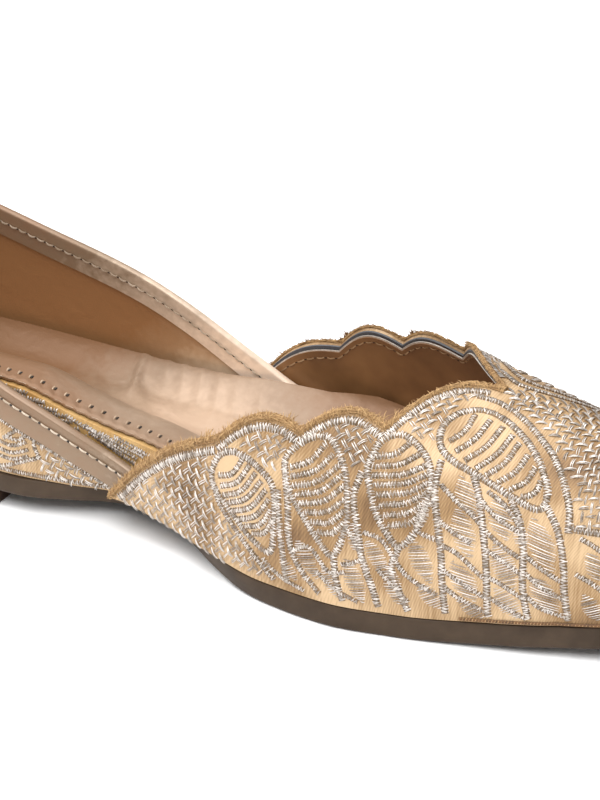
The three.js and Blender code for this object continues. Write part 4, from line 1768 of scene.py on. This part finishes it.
    def build(self) -> None:
        """Embroider both sides."""
        for outer in (False, True):
            side = side_name(outer)
            work = ThreadWork(self.chart(outer), seed=11 + outer)
            self.border(work)
            for leaf in self.leaves:
                work.satin_line(leaf.outline, closed=True)
                guides = np.array(leaf.ribs)
                spread = np.linspace(0, len(guides) - 1, self.ribs)
                columns = [np.interp(spread, np.arange(len(guides)), column) for column in guides.T]
                for x0, v0, x1, v1 in zip(*columns):
                    bend = (0.5 * (x0 + x1) + 0.9, 0.5 * (v0 + v1) - 1.2)
                    work.satin_line(((x0, v0), bend, (x1, v1)), 1.5, 0.38, rise=0.26)
            for stem in self.stems:
                work.satin_line(stem)
            self.cross_stems(work)
            for x, turn, length, width, tilt, threads in self.leaflets:
                work.leaflet(x, turn, 1.22 * length, 1.12 * width, tilt, threads)
            self.ahead(work)
            work.build("vamp_embroidery_" + side, Finish.THREAD)
            plait = ThreadWork(self.chart(outer), seed=21 + outer)
            self.nets(plait)
            plait.build("vamp_net_" + side, Finish.THREAD)
            self.foot_cord(work.chart, "vamp_foot_" + side)


@dataclass
class QuarterEmbroidery:
    """Silver thread on the quarter, charted by the length along it, equal to x on the inner side."""

    quarter: Quarter
    binding: CollarBinding
    lines: Sequence[Path] = (
        ((51.8, 8.1), (55, 10.6), (58, 12.4)),
        ((58, 12.4), (59.8, 10.5), (59.6, 8), (61, 5.4)),
        ((47, 0.8), (51.5, 1.6), (56, 3.4), (61, 5.6)),
        ((50.5, 7.3), (54, 6.9), (57.8, 8.6)),
        ((50, 5.6), (54, 5.2), (58.2, 6.9)),
        ((50, 3.9), (54, 3.7), (58.2, 5.2)),
        ((52.5, 8.6), (55.5, 8.6), (57.8, 10.2)),
    )

    def __post_init__(self) -> None:
        """Measure the lengths round the quarter, low on its wall."""
        self.stations, outer = self.quarter.path(self.quarter.inner_end, self.quarter.outer_end)
        self.length = lengths(LAST.point(self.stations, facing(outer, 10), self.quarter.satin_out))

    def station(self, u: Array) -> tuple[Array, Array]:
        """The x at a chart length, and whether it is on the outer side, past the heel."""
        along = self.quarter.inner_end - u
        return np.interp(along, self.length, self.stations), along > self.length[np.argmin(self.stations)]

    def surface(self, u: Array, v: Array, height: Array | float) -> Array:
        """Points of the quarter's satin: u falls from the inner end round the heel to the outer end."""
        x, outer = self.station(u)
        return LAST.point(x, facing(outer, v), self.quarter.satin_out + height)

    def top(self, u: Array) -> Array:
        """Turn of the binding's lower edge."""
        x, outer = self.station(u)
        height = np.maximum(self.quarter.top(x, outer) - self.binding.width, LAST.feather(x) + 0.6)
        return LAST.turn_at(x, height, self.quarter.satin_out)

    def build(self) -> None:
        """Embroider the quarter from end to end."""
        work = ThreadWork(Chart(self.surface), seed=51)
        end = self.quarter.inner_end - self.length[-1]
        u = np.arange(84, end + 24, -6.0)
        work.satin_line(list(zip(u, self.top(u) - 0.9)), 1.2, 0.5, slant=0.12)
        work.satin_line(list(zip(u[1:], np.full(len(u) - 1, 0.9))), 1.2, 0.5, slant=0.12)
        for line in self.lines:
            work.satin_line(line, 1.1, 0.42)
        # out of sight from the front: upright leaves, one to every 19 mm
        for middle in np.arange(36, end + 40, -19.0):
            tall = float(self.top(np.array([middle]))[0]) - 2.5
            right = [(5.2, 0.35), (5.6, 0.62), (2.6, 0.9)]
            outline = [(0, 0.1), *right, (0, 1.0), *((-a, b) for a, b in right[::-1])]
            work.satin_line([(middle + a, 1.5 + tall * b) for a, b in outline], 1.3, 0.5, closed=True)
            for share in np.linspace(0.24, 0.84, 7):
                half = 4.6 * math.sin(math.pi * min(share, 0.8)) ** 0.6
                bend = ((-half, -0.03), (0, 0), (half, 0.05))
                work.satin_line([(middle + a, 1.5 + tall * (share + b)) for a, b in bend], 1.1, 0.55)
        work.build("quarter_embroidery", Finish.THREAD)
        plait = ThreadWork(work.chart, seed=52)
        net = within(
            ((60.8, 9.8), (64, 9.6), (71, 7.0), (78.5, 2.9), (79, 0.5), (62, 0.5), (60.5, 3), (62.5, 6))
        )
        plait.net(net, lambda u: np.full(np.shape(u), 1.13), 70, 1.9, middle=(70, 4))
        plait.build("quarter_net", Finish.THREAD)


@dataclass
class BedEmbroidery:
    """Rows of silver thread on the satin that wraps the footbed's inner flank."""

    bed: Footbed
    # rows of stitches: x and depth under the edge of both ends
    rows: Sequence[tuple[float, float, float, float]] = (
        (56.5, 1.9, 61.5, 0.5),
        (60.5, 3.2, 66.5, 1.2),
        (63.0, 3.9, 68.0, 1.8),
        (67.5, 5.6, 71.5, 3.9),
        (69.5, 6.4, 72.5, 5.2),
        (58.5, 2.7, 64.5, 0.9),
        (65.0, 4.8, 70.0, 2.8),
        (71.0, 1.2, 84.0, 4.3),
        (74.5, 1.4, 86.0, 3.0),
        (75.0, 3.2, 84.0, 6.0),
        (46.0, 0.9, 52.0, 0.3),
        (50.0, 1.5, 57.0, 0.5),
        (53.5, 2.3, 60.0, 1.0),
        (66.5, 1.0, 75.0, 1.9),
        (72.0, 2.4, 80.0, 4.2),
        (78.0, 0.8, 90.0, 2.2),
    )

    def build(self) -> None:
        """Sew the rows."""

        def surface(u: Array, v: Array, height: Array | float) -> Array:
            """Points of the flank, by x and the depth under its edge."""
            offset = self.bed.side(u)
            level = self.bed.top(u, np.zeros(np.shape(u))) - v
            return LAST.point(u, LAST.turn_at(u, level, offset), offset + height)

        chart = Chart(surface)
        work = ThreadWork(chart, seed=61)
        for x0, v0, x1, v1 in self.rows:
            middle = (0.5 * (x0 + x1), 0.5 * (v0 + v1) + 0.15)
            work.satin_line(((x0, v0), middle, (x1, v1)), 1.25, 0.38, rise=0.26)
        work.padding.clear()  # these rows lie straight on the cloth, with no painted shade strips under them
        work.build("footbed_embroidery", Finish.THREAD)


@dataclass
class RawEdge:
    """The satin's cut edge: yarns worked loose and rolled along the edge, with a few tufts."""

    vamp: Vamp
    radius: float = 0.8
    tufts: Sequence[float] = (109, 128, 147.5, 150, 166.5)

    def build(self) -> None:
        """Fray the edge of both sides."""
        random = np.random.default_rng(5)
        for outer in (False, True):
            chart = wall_chart(self.vamp.satin_out, outer=outer)
            edge = Line(chart, *self.vamp.cut_line(outer))
            name = "raw_edge_" + side_name(outer)
            for part, ends, gather in (("_roll", 0.6, self.roll), ("_fringe", 0.35, self.fringe)):
                work = ThreadWork(chart)
                gather(work, edge, random)
                work.build(name + part, Finish.RAW_EDGE, ends=ends)

    def roll(self, work: ThreadWork, edge: Line, random: np.random.Generator) -> None:
        """Lay the loose yarns that lie along the edge.

        Args:
            work: gathers the yarns.
            edge: the cut edge.
            random: the hand's unevenness.
        """
        core = np.arange(0.6, edge.long - 1.2, 0.8)
        work.lay(*edge.place(core), *edge.place(core + 1.1), 0.2, 1.25, 0.16)
        count = int(edge.long * 13)
        s = random.uniform(0.5, edge.long - 0.5, count)
        long = random.uniform(0.8, 3.2, count)
        swell = self.radius * (1 + 0.22 * np.sin(1.3 * s) * np.sin(0.47 * s + 1))
        angle = random.uniform(-0.5, np.pi + 0.5, count)
        twist = random.normal(0, 0.55, count)
        reach = swell * random.uniform(0.55, 1.08, count)
        ends = []
        for side in (-0.5, 0.5):
            station, top = edge.place(np.clip(s + side * long, 0.2, edge.long - 0.2))
            aside = -0.25 + reach * np.cos(angle + side * twist)
            ends += [station, np.maximum(top + aside / self.vamp.degree(station), 0)]
        height = np.maximum(reach * np.sin(angle) * 0.8, -0.1)
        work.lay(*ends, height + random.uniform(0, 0.16, count), random.uniform(0.15, 0.27, count), height)

    def fringe(self, work: ThreadWork, edge: Line, random: np.random.Generator) -> None:
        """Lay the yarn ends that stand across the edge, and the tufts at the scallops' points.

        Args:
            work: gathers the yarn ends.
            edge: the cut edge.
            random: the hand's unevenness.
        """
        count = int(edge.long * 11)
        x, top = edge.place(random.uniform(0.4, edge.long - 0.4, count))
        near = sum(np.exp(-(((x - middle) / 1.3) ** 2)) for middle in self.tufts)
        push = random.uniform(0.2, 1.1, count) * (1 + 2.6 * near * random.uniform(0, 1, count))
        slip = random.normal(0, 1.1, count)
        degree = self.vamp.degree(x)
        low = np.maximum(top - random.uniform(0.7, 1.5, count) / degree, 0)
        rise, width = random.uniform(0.4, 0.95, count), random.uniform(0.13, 0.22, count)
        work.lay(x - slip / 2, low, x + slip / 2, top + push / degree, rise, width, 0.1)


# ---------------------------------------------------------------- seams


@dataclass
class Seam:
    """A row of lockstitches along a line: thread sunk at each needle hole."""

    chart: Chart
    length: float = 2.1
    gap: float = 0.5
    thread: float = 0.42
    finish: Finish = Finish.STITCH
    hole: float = 0.6

    def build(self, name: str, path: Array, seed: int = 3) -> None:
        """Sew along a line of the chart.

        Args:
            name: the piece's name.
            path: points close together on the chart.
            seed: seed of the small unevenness.
        """
        line = Line(self.chart, path[:, 0], path[:, 1])
        pitch = self.length + self.gap
        start = np.arange(0.5, line.long - pitch, pitch)
        work = ThreadWork(self.chart, seed)
        work.lay(*line.place(start), *line.place(start + self.length), 0.2, self.thread, -0.1)
        work.build(name, self.finish, ends=0.8)
        # the holes are dark marks of painted shade
        hole = ThreadWork(self.chart, seed)
        centre = start - self.gap / 2
        hole.lay(*line.place(centre - 0.34), *line.place(centre + 0.34), 0.07, self.hole, 0.02)
        hole.build(name + "_holes", Finish.HOLE, ends=0.3)


@dataclass
class Seams:
    """The topstitching of the binding and the vamp's lining."""

    quarter: Quarter
    binding: CollarBinding
    vamp: Vamp
    lining_seam_drop: float = 2.6  # from the satin's cut edge

    def build(self) -> None:
        """Sew every seam."""
        middle = (self.quarter.satin_out + self.quarter.lining_in) / 2
        half = (self.quarter.satin_out - self.quarter.lining_in) / 2 + LAST.gap + self.binding.thick
        x, outer = self.quarter.path(self.binding.inner_end - 2, self.binding.outer_end - 2)
        for name, sign, drop in (("binding_seam_outside", 1, 1.6), ("binding_seam_inside", -1, 2.6)):
            offset = middle + sign * half
            turn = LAST.turn_at(x, self.quarter.top(x, outer) - drop, offset)
            path = np.stack([x, facing(outer, turn)], -1)
            chart = wall_chart(offset, sign)
            for part, held in (("inner", ~outer), ("outer", outer)):
                Seam(chart, hole=0.6 if sign > 0 else 0.3).build(f"{name}_{part}", path[held])
        for outer_side in (False, True):
            self.lining(outer_side)

    def lining(self, outer: bool) -> None:
        """Sew one side of the vamp's lining under its cut edge, and cover the lining's own edge.

        Args:
            outer: true for the outer side.
        """
        x, turn = self.vamp.throat(outer)
        degree = self.vamp.degree(x)
        low = turn - self.lining_seam_drop / degree
        path = np.stack([x, facing(outer, low)], -1)[low > 4]
        seam = Seam(wall_chart(0.0, -1), 2.0, 0.7, 0.36, Finish.LINING_STITCH, 0.24)
        seam.build("lining_seam_" + side_name(outer), path)
        rim = ThreadWork(wall_chart(self.vamp.lining_out / 2))
        low = turn - (self.vamp.lining_drop - 0.12) / degree
        held = low > 2
        u, v = x[held], facing(outer, low)[held]
        rim.lay(u[:-1], v[:-1], u[1:], v[1:], 0.0, 0.62, 0.0)
        rim.build("lining_cut_edge_" + side_name(outer), Finish.PIPING, ends=1.0)


# ---------------------------------------------------------------- studio


@dataclass
class Studio:
    """White table, soft boxes and the camera."""

    target: tuple[float, float, float] = (104.592, 18.732, 20.0)
    azimuth: float = 29
    elevation: float = 28
    distance: float = 900
    lens: float = 174.15
    table: float = 6.0  # half the table's side, in metres
    sky: float = 0.55
    # soft boxes: name, place and side in metres, power in watts
    boxes: Sequence[tuple[str, tuple[float, float, float], float, float]] = (
        ("key", (0.25, -0.9, 1.5), 1.2, 26),
        ("top", (0.0, 0.3, 1.6), 1.6, 22),
        ("left", (-1.3, -0.3, 0.9), 1.0, 9),
    )

    def camera(self) -> None:
        """Place the camera."""
        az, el = math.radians(self.azimuth), math.radians(self.elevation)
        back = Vector((math.cos(el) * math.sin(az), -math.cos(el) * math.cos(az), math.sin(el)))
        right = Vector((0, 0, 1)).cross(back).normalized()
        up = back.cross(right)
        data = bpy.data.cameras.new("camera")
        data.lens = self.lens
        data.sensor_width = 36
        data.clip_start = 0.01
        data.clip_end = 20
        made = bpy.data.objects.new("camera", data)
        bpy.context.collection.objects.link(made)
        turn = Matrix((right, up, back)).transposed().to_4x4()
        made.matrix_world = Matrix.Translation((Vector(self.target) + back * self.distance) * MM) @ turn
        bpy.context.scene.camera = made

    def soft_box(self, name: str, place: Sequence[float], size: float, power: float) -> None:
        """Hang a soft box that faces the shoe.

        Args:
            name: its name.
            place: where, in metres.
            size: its side, in metres.
            power: in watts.
        """
        data = bpy.data.lights.new(name, "AREA")
        data.shape = "SQUARE"
        data.size = size
        data.energy = power
        made = bpy.data.objects.new(name, data)
        bpy.context.collection.objects.link(made)
        made.location = place
        middle = Vector((0.1, 0, 0.02))  # of the shoe
        made.rotation_euler = (middle - Vector(place)).to_track_quat("-Z", "Y").to_euler()

    def build(self) -> None:
        """Build the floor, the lights and the camera."""
        self.camera()
        mesh = bpy.data.meshes.new("floor")
        corners = [(a * self.table, b * self.table, 0) for a, b in ((-1, -1), (1, -1), (1, 1), (-1, 1))]
        mesh.from_pydata(corners, [], [(0, 1, 2, 3)])
        floor = bpy.data.objects.new("floor", mesh)
        bpy.context.collection.objects.link(floor)
        material, tree, shader = new_material("white_table")
        place = add(tree, "TexCoord", {})
        cloud = add(tree, "TexNoise", {"Vector": place.outputs["Object"], "Scale": 3.0})
        colour = add(
            tree, "ValToRGB", {"Fac": cloud.outputs["Fac"]}, stops=[(0.0, "#FBFBFB"), (1.0, "#FFFFFF")]
        )
        dress(tree, shader, colour, None, {"Roughness": 0.9})
        mesh.materials.append(material)
        for name, place, size, power in self.boxes:
            self.soft_box(name, place, size, power)
        world = bpy.data.worlds.new("studio")
        world.use_nodes = True
        sky = world.node_tree.nodes["Background"].inputs
        sky["Color"].default_value = (1, 1, 1, 1)
        sky["Strength"].default_value = self.sky
        scene = bpy.context.scene
        scene.world = world
        scene.view_settings.view_transform = "Standard"


def main() -> None:
    """Build the shoe piece by piece."""
    logging.basicConfig(level=logging.INFO, format="%(message)s")
    Studio().build()
    bed = Footbed()
    Sole().build(bed)
    bed.build()
    Sock(bed).build()
    quarter = Quarter()
    quarter.build()
    binding = CollarBinding(quarter)
    binding.build()
    vamp = Vamp()
    vamp.build()
    VampEmbroidery(vamp).build()
    QuarterEmbroidery(quarter, binding).build()
    BedEmbroidery(bed).build()
    RawEdge(vamp).build()
    Seams(quarter, binding, vamp).build()


if __name__ == "__main__":
    main()
